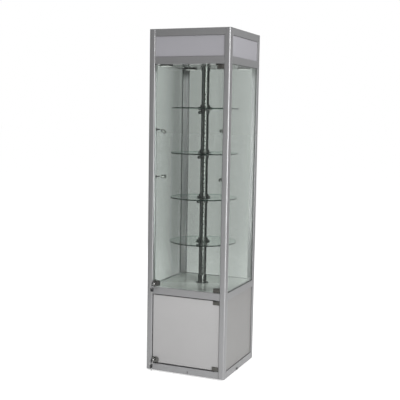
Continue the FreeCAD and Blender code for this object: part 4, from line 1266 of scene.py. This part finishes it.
    def build(self) -> None:
        """Make the column, socket, bush, shaft and top bearing."""
        looks = self.finishes
        chrome_and_inner_shade = [looks.dark_chrome, looks.tube_inside_shade]
        tube = self.tube()
        column = piece("perforated_column", tube, chrome_and_inner_shade, "turntable", "chrome", "column_tube")
        self.true_normals(column)
        shaft = spun(32, 0.6, 0, 479.3, 6, 479.3, 6, 521.3, 0, 521.3)
        bush = (6.2, 505, 6.2, 499, 14, 499, 14, 511, 28, 511, 28, 513, 6.2, 513, 6.2, 505)
        cup = (0, 1808, 23.05, 1808, 23.05, 1784, 26.05, 1784)
        cup += (26.05, 1806, 31, 1808, 31, 1812, 0, 1812)
        for name, shell, look, body, slot, node in (
            ("socket", self.socket(), looks.collar_chrome, "turntable", "chrome", "column_socket"),
            ("keyed_shaft", shaft, looks.steel, "turntable", "zinc", "drive_shaft"),
            ("thrust_bush", spun(48, 0.4, *bush), looks.black, "cabinet", "black", "deck_bush"),
            ("bearing_cup", spun(64, 0.7, *cup), chrome_and_inner_shade[0], "cabinet", "chrome", "top_bearing"),
        ):
            piece(name, shell, [look], body, slot, node)


@dataclass
class GearMotor(Assembly):
    """Gear motor under the deck: flange plate, toothed gearbox rim and can.

    Attributes:
        top: height of its upper face.
        plate: width of the flange plate.
        screw: distance of a screw from both middle planes.
    """

    top: float = 496.0
    plate: float = 80.0
    screw: float = 34.0

    def build(self) -> None:
        """Make the motor and its plate."""
        path = (0, 430, 26, 430, 26, 436, 25.2, 437, 25.2, 440, 26, 441, 26, 466, 32, 466)
        path += (32, 474, 31, 475, 31, 478, 32, 479, 32, self.top, 0, self.top)
        body = spun(72, 0.8, *path, knurl=(36, 0.25, 31.5))
        sides = (-self.screw, self.screw)
        places = [(x, y, self.top) for x in sides for y in sides]
        screws = [cap_screw(3.2, 2.4, 1.5).put(stand(place, DOWN)) for place in places]
        plate = slab(self.plate, self.plate, 3, 4.0, 0.6).put(stand((0, 0, self.top)))
        shell = in_two(body, [*screws, plate])
        looks = [self.finishes.motor_paint, self.finishes.zinc]
        piece("column_gear_motor", shell, looks, "cabinet", "black", "gear_motor")


@dataclass
class RoundShelf(Assembly):
    """One glass shelf with its collar, clamp ring and thumb screw.

    Attributes:
        number: its place from the top, from 1.
        underside: height of the glass's underside.
        radius: outside of the glass.
        bore: radius of its hole.
        thickness: thickness of the glass.
        screw_angle: direction of the thumb screw from +X, in degrees.
    """

    number: int
    underside: float
    radius: float = 200.0
    bore: float = 27.0
    thickness: float = 6.0
    screw_angle: float = -127.5

    def glass(self) -> Shell:
        """The round pane with its hole.

        Returns:
            The pane, its rims in the second finish.
        """
        seam, low, high = 120.0, 0.0, self.thickness
        out, bore = self.radius, self.bore
        numbers = (seam, low, out, low, out, high, bore, high, bore, low, seam, low)
        path = softened(pairs(*numbers), 0.7, 2)
        middle = (path[:-1, 0] + path[1:, 0]) / 2
        upright = np.abs(np.diff(path[:, 1])) >= 1e-6
        rim = upright | (middle > out - 0.9) | (middle < bore + 0.9)
        return turned(path, 128, rim.astype(int))

    def hub(self) -> Shell:
        """Collar under the glass and clamp ring on it.

        Returns:
            The flanged collar, the knurled ring and its set screws.
        """
        collar = (23.1, -10, 23.1, -28, 27, -28, 27, -12.5, 33, -8, 43, -3.6, 44, -2.4)
        collar += (44, 0, 26, 0, 26, 20, 23.1, 20, 23.1, -10)
        ring = (26.1, 12, 26.1, 6, 39.6, 6, 39.6, 11.4, 33, 12.4, 30, 14.4, 30, 24, 26.1, 24)
        knurled = spun(144, 0.9, *ring, 26.1, 12, knurl=(48, 0.3, 38.0))
        screws = [
            cap_screw(2.2, 0.9, 1.0).put(stand(around(turn, 29.6, 18.0), around(turn), UP))
            for turn in (self.screw_angle + 40, self.screw_angle + 220)
        ]
        return joined([spun(72, 1.0, *collar), knurled, *screws])

    def thumb_screw(self) -> Shell:
        """Thumb screw of the collar, its tip just short of the column.

        Returns:
            The screw with its knurled knob.
        """
        path = (0, 23.4, 2.4, 23.4, 2.4, 27.6, 6, 28.2, 9.6, 30, 9.6, 42, 7.6, 43.6, 0, 43)
        knob = spun(96, 0.6, *path, knurl=(24, 0.25, 8.0))
        return knob.put(stand((0, 0, -22.0), around(self.screw_angle), UP))

    def build(self) -> None:
        """Make the shelf's pieces at their height."""
        place, number, body = stand((0, 0, self.underside)), self.number, f"shelf_{self.number}"
        glass = [self.finishes.shelf_glass, self.finishes.shelf_rim]
        chrome = [self.finishes.collar_chrome]
        for name, shell, looks, slot, nodes in (
            ("shelf_pane", self.glass(), glass, "clear_glass", [f"glass_shelf_{number}"]),
            ("collar_and_ring", self.hub(), chrome, "chrome", [f"shelf_collar_{number}"]),
            ("thumb_screw", self.thumb_screw(), chrome, "black", []),
        ):
            piece(f"{name}_{number}", shell.put(place), looks, body, slot, *nodes)


@dataclass
class Door(Assembly):
    """A door's own leaf with its pivots, lock and keys.

    Attributes:
        name: the door's node.
        low: underside of the opening.
        high: top of the opening.
        leaf: finish of the leaf.
        ring_turn: turn of the key ring, in degrees.
        key_turn: turn of the spare key, in degrees.
        middle: the leaf's middle plane.
        gap: from the opening to the leaf.
        pivot: the pivots' distance to the right of the cabinet's axis.
        lock: the same for the lock's axis.
        half_leaf: half the thickness of the leaf.
        clamp: width, height and wall of a pivot clamp.
        case: width and height of the lock case.
        bore: radius of the hole for the plug.
    """

    name: str
    low: float
    high: float
    leaf: bpy.types.Material
    ring_turn: float
    key_turn: float
    middle: float = -241.5
    gap: float = 6.5
    pivot: float = 200.0
    lock: float = -202.0
    half_leaf: float = 2.5
    clamp: tuple[float, float, float] = (39.0, 26.0, 4.0)
    case: tuple[float, float] = (40.0, 32.0)
    bore: float = 6.1

    @property
    def lock_axis(self) -> float:
        """Height of the lock's axis."""
        return self.low + LOCK_RISE

    def at(self, x: float, forward: float, z: float, up: Any = FRONT) -> np.ndarray:
        """Matrix of a place in front of the leaf's middle plane."""
        return stand((x, self.middle - forward, z), up)

    def clamps(self) -> None:
        """Pivot clamps: two cheeks and a web, with the grip ribs of the front cheek."""
        width, height, wall = self.clamp
        cheek = slab(width, height, wall, 1.6, 0.7)
        web = slab(width, height / 2, wall, 1.2, 0.7)
        rib = slab(2.4, height - 4.0, 1.1, 1.0, 0.5)
        centre, half = self.pivot - 8.5, self.half_leaf
        first_rib, rib_pitch, ribs, rib_seat = centre - 15.5, 6.2, 6, half + 3.5
        shells = []
        for edge, up in (
            (self.low + self.gap - wall, 1.0),
            (self.high - self.gap + wall, -1.0),
        ):
            level = edge + up * height / 2
            shells += [
                cheek.put(self.at(centre, half, level)),
                cheek.put(self.at(centre, -half, level, BACK)),
                web.put(self.at(centre, 0.0, edge, (0, 0, up))),
            ]
            for number in range(ribs):
                x = first_rib + number * rib_pitch
                shells.append(rib.put(self.at(x, rib_seat, level)))
        name, looks = self.name, [self.finishes.clamp_metal]
        piece(f"{name}_pivot_clamps", joined(shells), looks, name, "chrome", f"{name}_clamps")

    def plates(self) -> list[Shell]:
        """Pivot plates on the rails.

        Returns:
            Both, with their pins and screws.
        """
        pin = spun(24, 0.4, 0, 1.8, 2.5, 1.8, 2.5, 6, 0, 6)
        screws = [cap_screw(2.6, 0.5, 1.1).put(stand((x, 0, 1.9))) for x in (-8.0, 8.0)]
        whole = joined([slab(24, 12, 2.2, 2.0, 0.4), pin, *screws])
        ends = ((self.low, UP), (self.high, DOWN))
        return [whole.put(self.at(self.pivot, 0.0, level, up)) for level, up in ends]

    def lock_case(self) -> None:
        """Lock case: a front and a rear shell round the plug, and the core in the notch."""
        right, above, core_right = 11.0, 2.0, 0.75
        half, front_depth, rear_depth, sunk = self.half_leaf, 9.0, 6.0, 0.2
        x, z = self.lock + right, self.lock_axis + above
        corners, hole = (6.0, 1.6, 1.6, 6.0), (-right, -above, self.bore)
        front = holed_slab(*self.case, front_depth, corners, hole, 0.9)
        front = front.put(self.at(x, half, z))
        rear = holed_slab(*self.case, rear_depth, corners, hole, 0.9)
        rear = rear.put(self.at(x, -half - rear_depth, z))
        core = holed_slab(15.5, 17, 2 * half, 0.5, (-core_right, 0.0, self.bore), 0.2)
        core = core.put(self.at(self.lock + core_right, -half, z - above))
        screw, seat = cap_screw(2.6, 0.8, 1.2), half + front_depth - sunk
        screws = [screw.put(self.at(self.lock + 24, seat, z + off)) for off in (-9.5, 9.5)]
        shell = in_two(front, [rear, core, *screws])
        name, looks = self.name, [self.finishes.case_chrome, self.finishes.gunmetal]
        piece(f"{name}_lock_body", shell, looks, name, "chrome", f"{name}_lock_case")

    def plug_and_key(self) -> None:
        """Lock plug with its cam, and the key whose head stands in front of it."""
        path = (0, -8.8, 6, -8.8, 6, 11.8, 7.5, 11.8, 7.5, 13.8, 4.4, 13.8, 3.2, 14.6)
        plug = spun(40, 0.5, *path, 3.2, 18.8, 0, 18.8)
        cam = slab(10, 27, 2.0, 3.0, 0.3).put(stand((0, 8.5, -10.8)))
        shell = joined([plug, cam]).put(self.at(self.lock, 0.0, self.lock_axis))
        name, body = self.name, f"{self.name}_key"
        looks = [self.finishes.bright_chrome]
        piece(f"{name}_plug_and_cam", shell, looks, body, "chrome", f"{name}_lock_plug")
        at = (self.lock + 1.0, self.middle - 30.8, self.lock_axis)
        head = holed_slab(24, 21, 2.0, 6.0, (6.5, 0.0, 3.7), 0.45).put(stand(at, LEFT, FRONT))
        piece(f"{name}_key_head", head, [self.finishes.black], body, "black", f"{name}_key")

    def blade(self) -> Shell:
        """The blade of a key.

        The bite at a length is deep times |2 frac(length / tooth) - 1|, and the end is drawn
        in to a point along straight lines.

        Returns:
            The blade, upwards along z.
        """
        along = np.linspace(0.0, 18.0, 61)
        tooth, deep, blank, half_width = 3.0, 1.3, 3.0, 3.5
        bite = deep * np.abs(np.mod(along / tooth, 1.0) - 0.5) * 2 * (along > blank)
        point = 3.2 * np.clip((along - 15.5) / 2.5, 0, 1)
        low, high = -half_width + bite + point * 0.6, half_width - point
        thick = np.full_like(along, 0.8)
        corners = ((low, -thick), (high, -thick), (high, thick), (low, thick))
        rows = lifted(np.stack([np.stack(corner, -1) for corner in corners], axis=1), along)
        ends = rows[[0, -1]].mean(axis=1, keepdims=True).repeat(4, axis=1)
        return woven(np.concatenate([ends[:1], rows, ends[1:]]))

    def spare_key(self) -> None:
        """Key ring and the spare key that hangs from it."""
        ring, wire, key_hole, hole_up = 12.0, 0.6, 3.0, 6.5
        forward = self.middle - 37.3
        slack = key_hole - 1.2 * 2 * wire
        centre = self.lock_axis - slack + wire - ring
        across = around(self.ring_turn)
        hung = stand((self.lock, forward, centre), np.cross(across, UP), across)
        hole = centre - ring + wire - slack
        normal = np.array(around(self.key_turn))
        side = np.cross(UP, normal)
        head = holed_slab(21, 24, 2.0, 6.0, (0.0, hole_up, key_hole), 0.45)
        middle = np.array([self.lock, forward, hole - hole_up])
        head = head.put(stand(middle - normal, normal, side))
        blade = self.blade().put(stand((self.lock, forward, hole - 18.4), DOWN, side))
        shell = in_two(head, [hoop(ring - wire, wire).put(hung), blade])
        body, looks = f"{self.name}_spare_key", [self.finishes.black, self.finishes.steel]
        piece(f"{self.name}_ring_and_spare_key", shell, looks, body, "chrome", body)

    def build(self) -> list[Shell]:
        """Make the door's pieces.

        Returns:
            Its pivot plates, which stay with the cabinet.
        """
        dress(self.name, self.leaf, 0.5)
        self.clamps()
        self.lock_case()
        self.plug_and_key()
        self.spare_key()
        return self.plates()


@dataclass
class Spotlight(Assembly):
    """A spotlight on a front post: corner bracket, stem and swivelling head.

    Attributes:
        name: which one.
        side: -1 on the left post, 1 on the right.
        height: height of its axis.
        tilt: rest tilt below the level, in degrees.
        leg: width of a leg of its bracket.
        leg_place: the post's inner corner to the middle of a leg.
        swivel: the same to the axis of the head.
    """

    name: str
    side: int
    height: float
    tilt: float
    leg: float = 16.0
    leg_place: float = 6.0
    swivel: float = 24.0

    @property
    def inwards(self) -> np.ndarray:
        """Level direction from the post's corner to the column."""
        return np.array([-self.side, 1.0, 0.0]) * math.sqrt(0.5)

    @property
    def corner(self) -> np.ndarray:
        """The post's inner corner at the spotlight's height."""
        return np.array([self.side * 214.0, -214.0, self.height])

    def bracket(self) -> list[Shell]:
        """Corner bracket of the spotlight.

        Returns:
            Two legs with screws, a stem and the tongue of the joint.
        """
        screw = cap_screw(2.4, 1.4, 1.1).put(stand((0, 0, 1.8)))
        leg = joined([slab(self.leg, self.leg, 2.0, 1.5, 0.5), screw])
        first = leg.put(stand(self.corner + (self.side * self.leg_place, 0, 0), BACK))
        beside = self.corner + (0, -self.leg_place, 0)
        second = leg.put(stand(beside, (-self.side, 0.0, 0.0), BACK))
        path = (0, 0.4, 5.2, 0.4, 5.2, 3.4, 3.5, 4.6, 3.5, 18.5, 0, 18.5)
        rod = spun(28, 0.6, *path).put(stand(self.corner, self.inwards, UP))
        across = np.cross(self.inwards, UP)
        tongue, half = slab(6.3, 12, 3.0, 3.0, 0.4), 1.5
        at = self.corner + self.inwards * (self.swivel - 1.5) - across * half
        return [first, second, rod, tongue.put(stand(at, across, UP))]

    def head(self) -> None:
        """The can with its cooling grooves, reflector and lamp, on two ears."""
        lean = math.radians(self.tilt)
        aim = self.inwards * math.cos(lean) + np.array(DOWN) * math.sin(lean)
        axis = self.corner + self.inwards * self.swivel
        place = stand(axis, aim, np.cross(UP, self.inwards))
        numbers = [0, 5.6, 7, 5.6, 10.2, 8]
        for low in (11.5, 15.1):
            numbers += [10.2, low, 9, low + 0.4, 9, low + 1.6, 10.2, low + 2]
        can = softened(pairs(*numbers, 10.5, 19, 10.5, 35.5, 9, 35.5), 0.4, 2)
        cone = softened(pairs(9, 35.5, 8.6, 33.5, 6.4, 29.4, 3.4, 27.8), 1.0)
        lamp = softened(pairs(3.4, 27.8, 3.2, 29.6, 2, 30.8, 0, 31.2), 1.0)
        kinds = [0] * (len(can) + len(cone)) + [1] * (len(lamp) - 1)
        shell = turned(np.vstack([can, cone, lamp]), 48, kinds)
        ear = slab(7.0, 9.5, 2.5, (3.4, 3.4, 1.0, 1.0), 0.3)
        ears = [ear.put(stand((offset, 0.0, 1.4), RIGHT, BACK)) for offset in (1.7, -4.2)]
        pin = spun(20, 0.4, 0, -5.2, 1.9, -5.2, 1.9, 5.2, 0, 5.2)
        pin = pin.put(stand((0, 0, 0), RIGHT, BACK))
        whole = joined([shell, *ears, pin]).put(place)
        name, looks = self.name, [self.finishes.bright_chrome, self.finishes.lens]
        piece(f"spotlight_{name}", whole, looks, f"spot_{name}", "black", f"spot_head_{name}")


@dataclass
class Lights(Assembly):
    """Four spotlights, four ceiling lights and their power supply."""

    def build(self) -> None:
        """Make all lights."""
        looks = self.finishes
        spots = [
            Spotlight(looks, "left_upper", -1, 1438.0, 35.0),
            Spotlight(looks, "left_lower", -1, 1163.0, 3.0),
            Spotlight(looks, "right_upper", 1, 1438.0, 3.0),
            Spotlight(looks, "right_lower", 1, 1163.0, 12.0),
        ]
        brackets = joined(shell for spot in spots for shell in spot.bracket())
        metal = [looks.gunmetal]
        piece("spotlight_brackets", brackets, metal, "cabinet", "black", "spot_brackets")
        for spot in spots:
            spot.head()
        bezel = (0, 1804.6, 34.1, 1804.6, 34.1, 1804, 37.6, 1804, 38, 1805.5, 38, 1812, 0, 1812)
        cover = (0, 1802, 22, 1802.1, 31, 1802.6, 34, 1804.6, 0, 1804.6)
        for name, shell, finish, slot, node in (
            ("bezels", spun(64, 0.5, *bezel), looks.gunmetal, "black", "housings"),
            ("covers", spun(64, 1.2, *cover), looks.lens, "lens", "lenses"),
        ):
            four = joined(shell.put(place) for place in square_places(LIGHT_INSET))
            node = f"ceiling_light_{node}"
            piece(f"ceiling_light_{name}", four, [finish], "cabinet", slot, node)
        dress("light_power_supply", looks.black, 1.2)


@dataclass
class Base(Assembly):
    """Levelling feet and the power inlet.

    Attributes:
        foot_inset: distance of a foot from both middle planes.
        thread: radius of its stud at the middle of the thread.
    """

    foot_inset: float = 190.0
    thread: float = 3.75

    def foot(self) -> Shell:
        """A levelling foot.

        Returns:
            Rubber pad, threaded stud, nut and insert plate.
        """
        thread = self.thread + 0.25 * np.where(np.arange(59) % 2, 1.0, -1.0)
        stud = np.stack([thread, np.linspace(6.5, 35.5, 59)], axis=-1)
        angle = np.arange(24) * FULL_TURN / 24
        wall = hexagon(6.5, angle)
        radii = np.array([0 * wall, wall - 0.5, wall, wall, wall - 0.5, 0 * wall])
        heights = np.array([7.2, 7.2, 7.7, 11.3, 11.8, 11.8])[:, None]
        nut = woven(polar(radii, angle, heights))
        plate = spun(40, 0.5, 0, 35, 14, 35, 14, 38, 0, 38)
        pad = spun(48, 1.2, 0, 0, 17, 0, 17, 3.5, 13, 7, 0, 7)
        return in_two(pad, [turned(stud, 20), nut, plate])

    def build(self) -> None:
        """Make the feet, the plug of the front rail and the inlet."""
        black, metal = self.finishes.black, self.finishes.bright_chrome
        feet = joined(self.foot().put(place) for place in square_places(self.foot_inset))
        looks = [self.finishes.rubber, self.finishes.zinc]
        piece("levelling_feet_set", feet, looks, "cabinet", "black", "levelling_feet")
        catch = slab(4.0, 13, 1.0, 1.8, 0.3).put(stand((19.5, -249.8, 24.0), FRONT))
        piece("base_rail_plug", catch, [black], "cabinet", "black")
        path = (0, -24, 4.8, -24, 4.8, 0, 6.4, 0, 7, 0.6, 7, 3.2, 6.2, 4, 3.4, 4, 3, 3.6, 3, 2)
        kinds = [0] * 8 + [1] * 4
        inlet = turned(pairs(*path, 1, 2, 1, 3.4, 0, 3.7), 40, kinds)
        inlet = inlet.put(stand((250.0, -36.0, 17.5), RIGHT, BACK))
        piece("inlet_socket", inlet, [black, metal], "cabinet", "black", "power_inlet")


# --------------------------------------------------------------------------- studio


@dataclass
class Studio:
    """Plain floor, plain light and the camera.

    Attributes:
        eye: the camera's place in metres.
        yaw: its turn from +Y towards +X, in radians.
        pitch: how far it looks down, in degrees.
        roll: its turn about its view, in degrees.
        lens: its focal length in millimetres.
        wall_radius: radius of the wall that mirrors show, in metres.
        wall_height: its height in metres.
        wall_shades: azimuth in degrees and brightness of points along that wall.
    """

    eye: Colour = (1.8526, -4.4392, 1.5174)
    yaw: float = -0.39984
    pitch: float = 5.95
    roll: float = 0.976
    lens: float = 72.203
    wall_radius: float = 2.8
    wall_height: float = 4.5
    wall_shades: tuple[float, ...] = (
        84, 0.04, 140, 0.05, 148, 0.70, 159.5, 0.70, 161, 0.10, 164, 0.10, 168, 0.35,
        182, 0.30, 190, 0.85, 216, 0.85, 226, 0.25, 300, 0.22, 369, 0.26,
    )

    def floor(self) -> None:
        """A wide pale floor that keeps the cabinet's soft shadow."""
        recipe = Recipe("pale_floor")
        seen, mirrored, through = recipe.rays()
        grey = recipe.tones(recipe.noise(3, detail=3.0), (0.8, 0.8, 0.8), 0.975, 1.025)
        glow = recipe.made("Emission", Strength=seen.most(through) * 0.64 + mirrored * 0.42)
        both = {0: recipe.made("BsdfDiffuse", Color=grey), 1: glow}
        look = recipe.done(recipe.node("ShaderNodeAddShader", None, both).outputs[0])
        mesh = bpy.data.meshes.new("floor")
        far = 60.0
        corners = QUARTERS[[2, 3, 0, 1]] * far
        mesh.from_pydata([(x, y, 0) for x, y in corners.tolist()], [], [(0, 1, 2, 3)])
        mesh.materials.append(look)
        floor = linked("floor", mesh)

    def world(self) -> None:
        """White where it is seen directly or in a mirror, softer where it lights."""
        recipe = Recipe("studio", "World")
        seen, mirrored, through = recipe.rays()
        strength = seen.most(mirrored).most(through) * 0.55 + 0.45
        background = recipe.made("Background", Color=(1.0, 1.0, 1.0), Strength=strength)
        bpy.context.scene.world = recipe.done(background)

    def surroundings(self) -> None:
        """A round studio wall that only mirrors show, lighter and darker by azimuth.

        Its shade at an azimuth is read between the given pairs along straight lines.
        """
        recipe = Recipe("studio_wall")
        shade = recipe.node("ShaderNodeAttribute", {"attribute_name": "shade"}).outputs["Fac"]
        places, shades = pairs(*self.wall_shades).T
        azimuth = np.linspace(places[0], places[-1], 561)
        low = polar(self.wall_radius, np.radians(azimuth - 90), 0.02)
        points = np.concatenate([low, low + [0, 0, self.wall_height]])
        index = np.arange(560)
        faces = np.stack([index, index + 1, index + 562, index + 561], -1)
        mesh = bpy.data.meshes.new("studio_wall")
        mesh.from_pydata(points.tolist(), [], faces.tolist())
        values = np.tile(np.interp(azimuth, places, shades), 2)
        mesh.attributes.new("shade", "FLOAT", "POINT").data.foreach_set("value", values)
        mesh.materials.append(recipe.done(recipe.made("Emission", Strength=shade)))
        wall = linked("studio_wall", mesh)
        wall.visible_camera = wall.visible_diffuse = False
        wall.visible_transmission = wall.visible_shadow = False

    def panel_light(
        self, name: str, size: tuple[float, float], power: float, mirrored: bool = False
    ) -> bpy.types.Object:
        """A soft rectangular lamp at the origin, which looks down.

        Args:
            name: its name.
            size: its width and height.
            power: its power in watts.
            mirrored: whether mirrors show it.

        Returns:
            The lamp.
        """
        light = bpy.data.lights.new(name, "AREA")
        light.shape = "RECTANGLE"
        light.size, light.size_y = size
        light.energy = power
        lamp = linked(name, light)
        lamp.visible_camera = False
        lamp.visible_glossy = mirrored
        return lamp

    def lamps(self) -> None:
        """Lamps round the cabinet that look at its middle.

        Azimuth 0 is in front and 90 on the right; the distance is level, from the axis.
        """
        middle = Vector((0, 0, 1.05))
        for name, azimuth, distance, height, size, power, mirrored in (
            ("key", 65, 3.4, 3.1, (3.0, 2.4), 112, False),
            ("strip", 41, 3.55, 1.6, (1.8, 3.2), 112, True),
            ("fill", 11, 1.6, 0.95, (0.9, 0.9), 9.5, False),
            ("rear", -150, 4.0, 2.4, (2.0, 2.0), 25, True),
        ):
            angle = math.radians(azimuth)
            at = Vector((math.sin(angle) * distance, -math.cos(angle) * distance, height))
            lamp = self.panel_light(name, size, power, mirrored)
            lamp.location = at
            lamp.rotation_euler = (middle - at).to_track_quat("-Z", "Y").to_euler()
            lamp.visible_diffuse = name != "strip"

    def inner_glow(self) -> None:
        """Soft light inside, as the ceiling lights and pale panels together give."""
        for name, place, turn, size, power, spread in (
            ("from_ceiling", (0.0, 0.0, 1.78), (0.0, 0.0), (0.38, 0.38), 6.0, 180),
            ("from_right", (0.12, -0.12, 1.15), (90.0, 45.0), (0.12, 0.8), 9.5, 180),
            ("low_from_right", (0.1, -0.1, 0.7), (90.0, 45.0), (0.08, 0.24), 1.9, 50),
        ):
            lamp = self.panel_light(name, size, power)
            lamp.data.spread = math.radians(spread)
            lamp.location = place
            lamp.rotation_euler = (math.radians(turn[0]), 0.0, math.radians(turn[1]))

    def camera(self) -> None:
        """The camera at its place, turned by yaw, pitch and roll."""
        pitch, roll = math.radians(self.pitch), math.radians(self.roll)
        ahead = np.array([math.sin(self.yaw), math.cos(self.yaw), 0.0])
        view = ahead * math.cos(pitch) + np.array(DOWN) * math.sin(pitch)
        level = np.array([math.cos(self.yaw), -math.sin(self.yaw), 0.0])
        up = np.cross(level, view)
        right = level * math.cos(roll) + up * math.sin(roll)
        top = -level * math.sin(roll) + up * math.cos(roll)
        matrix = np.eye(4)
        matrix[:3, :3] = np.stack([right, top, -view], axis=1)
        matrix[:3, 3] = self.eye
        data = bpy.data.cameras.new("camera")
        data.lens = self.lens
        data.sensor_width = 36.0
        data.sensor_fit = "HORIZONTAL"
        data.clip_end = 200.0
        camera = linked("camera", data)
        camera.matrix_world = Matrix(matrix.tolist())
        bpy.context.scene.camera = camera

    def build(self) -> None:
        """Set up floor, world, lamps, camera and plain colour."""
        self.floor()
        self.world()
        self.surroundings()
        self.lamps()
        self.inner_glow()
        self.camera()
        bpy.context.scene.view_settings.view_transform = "Standard"


def main() -> None:
    """Build the studio and every sub-assembly of the cabinet in order."""
    logging.basicConfig(level=logging.INFO, format="%(name)s: %(message)s", stream=sys.stdout)
    Studio().build()
    looks = Finishes()
    Carcass(looks).build()
    PerforatedColumn(looks).build()
    GearMotor(looks).build()
    top_shelf, shelf_spacing = 1562.0, 266.0
    for number in range(4):
        RoundShelf(looks, number + 1, top_shelf - shelf_spacing * number).build()
    doors = [
        Door(looks, "glass_door", *DISPLAY, looks.door_pane, 40.0, 85.0),
        Door(looks, "cupboard_door", *CUPBOARD, looks.door_panel, 0.0, -20.0),
    ]
    plates = joined(plate for door in doors for plate in door.build())
    piece("pivot_plates_and_pins", plates, [looks.zinc], "cabinet", "zinc", "pivot_plates")
    Lights(looks).build()
    Base(looks).build()


if __name__ == "__main__":
    main()
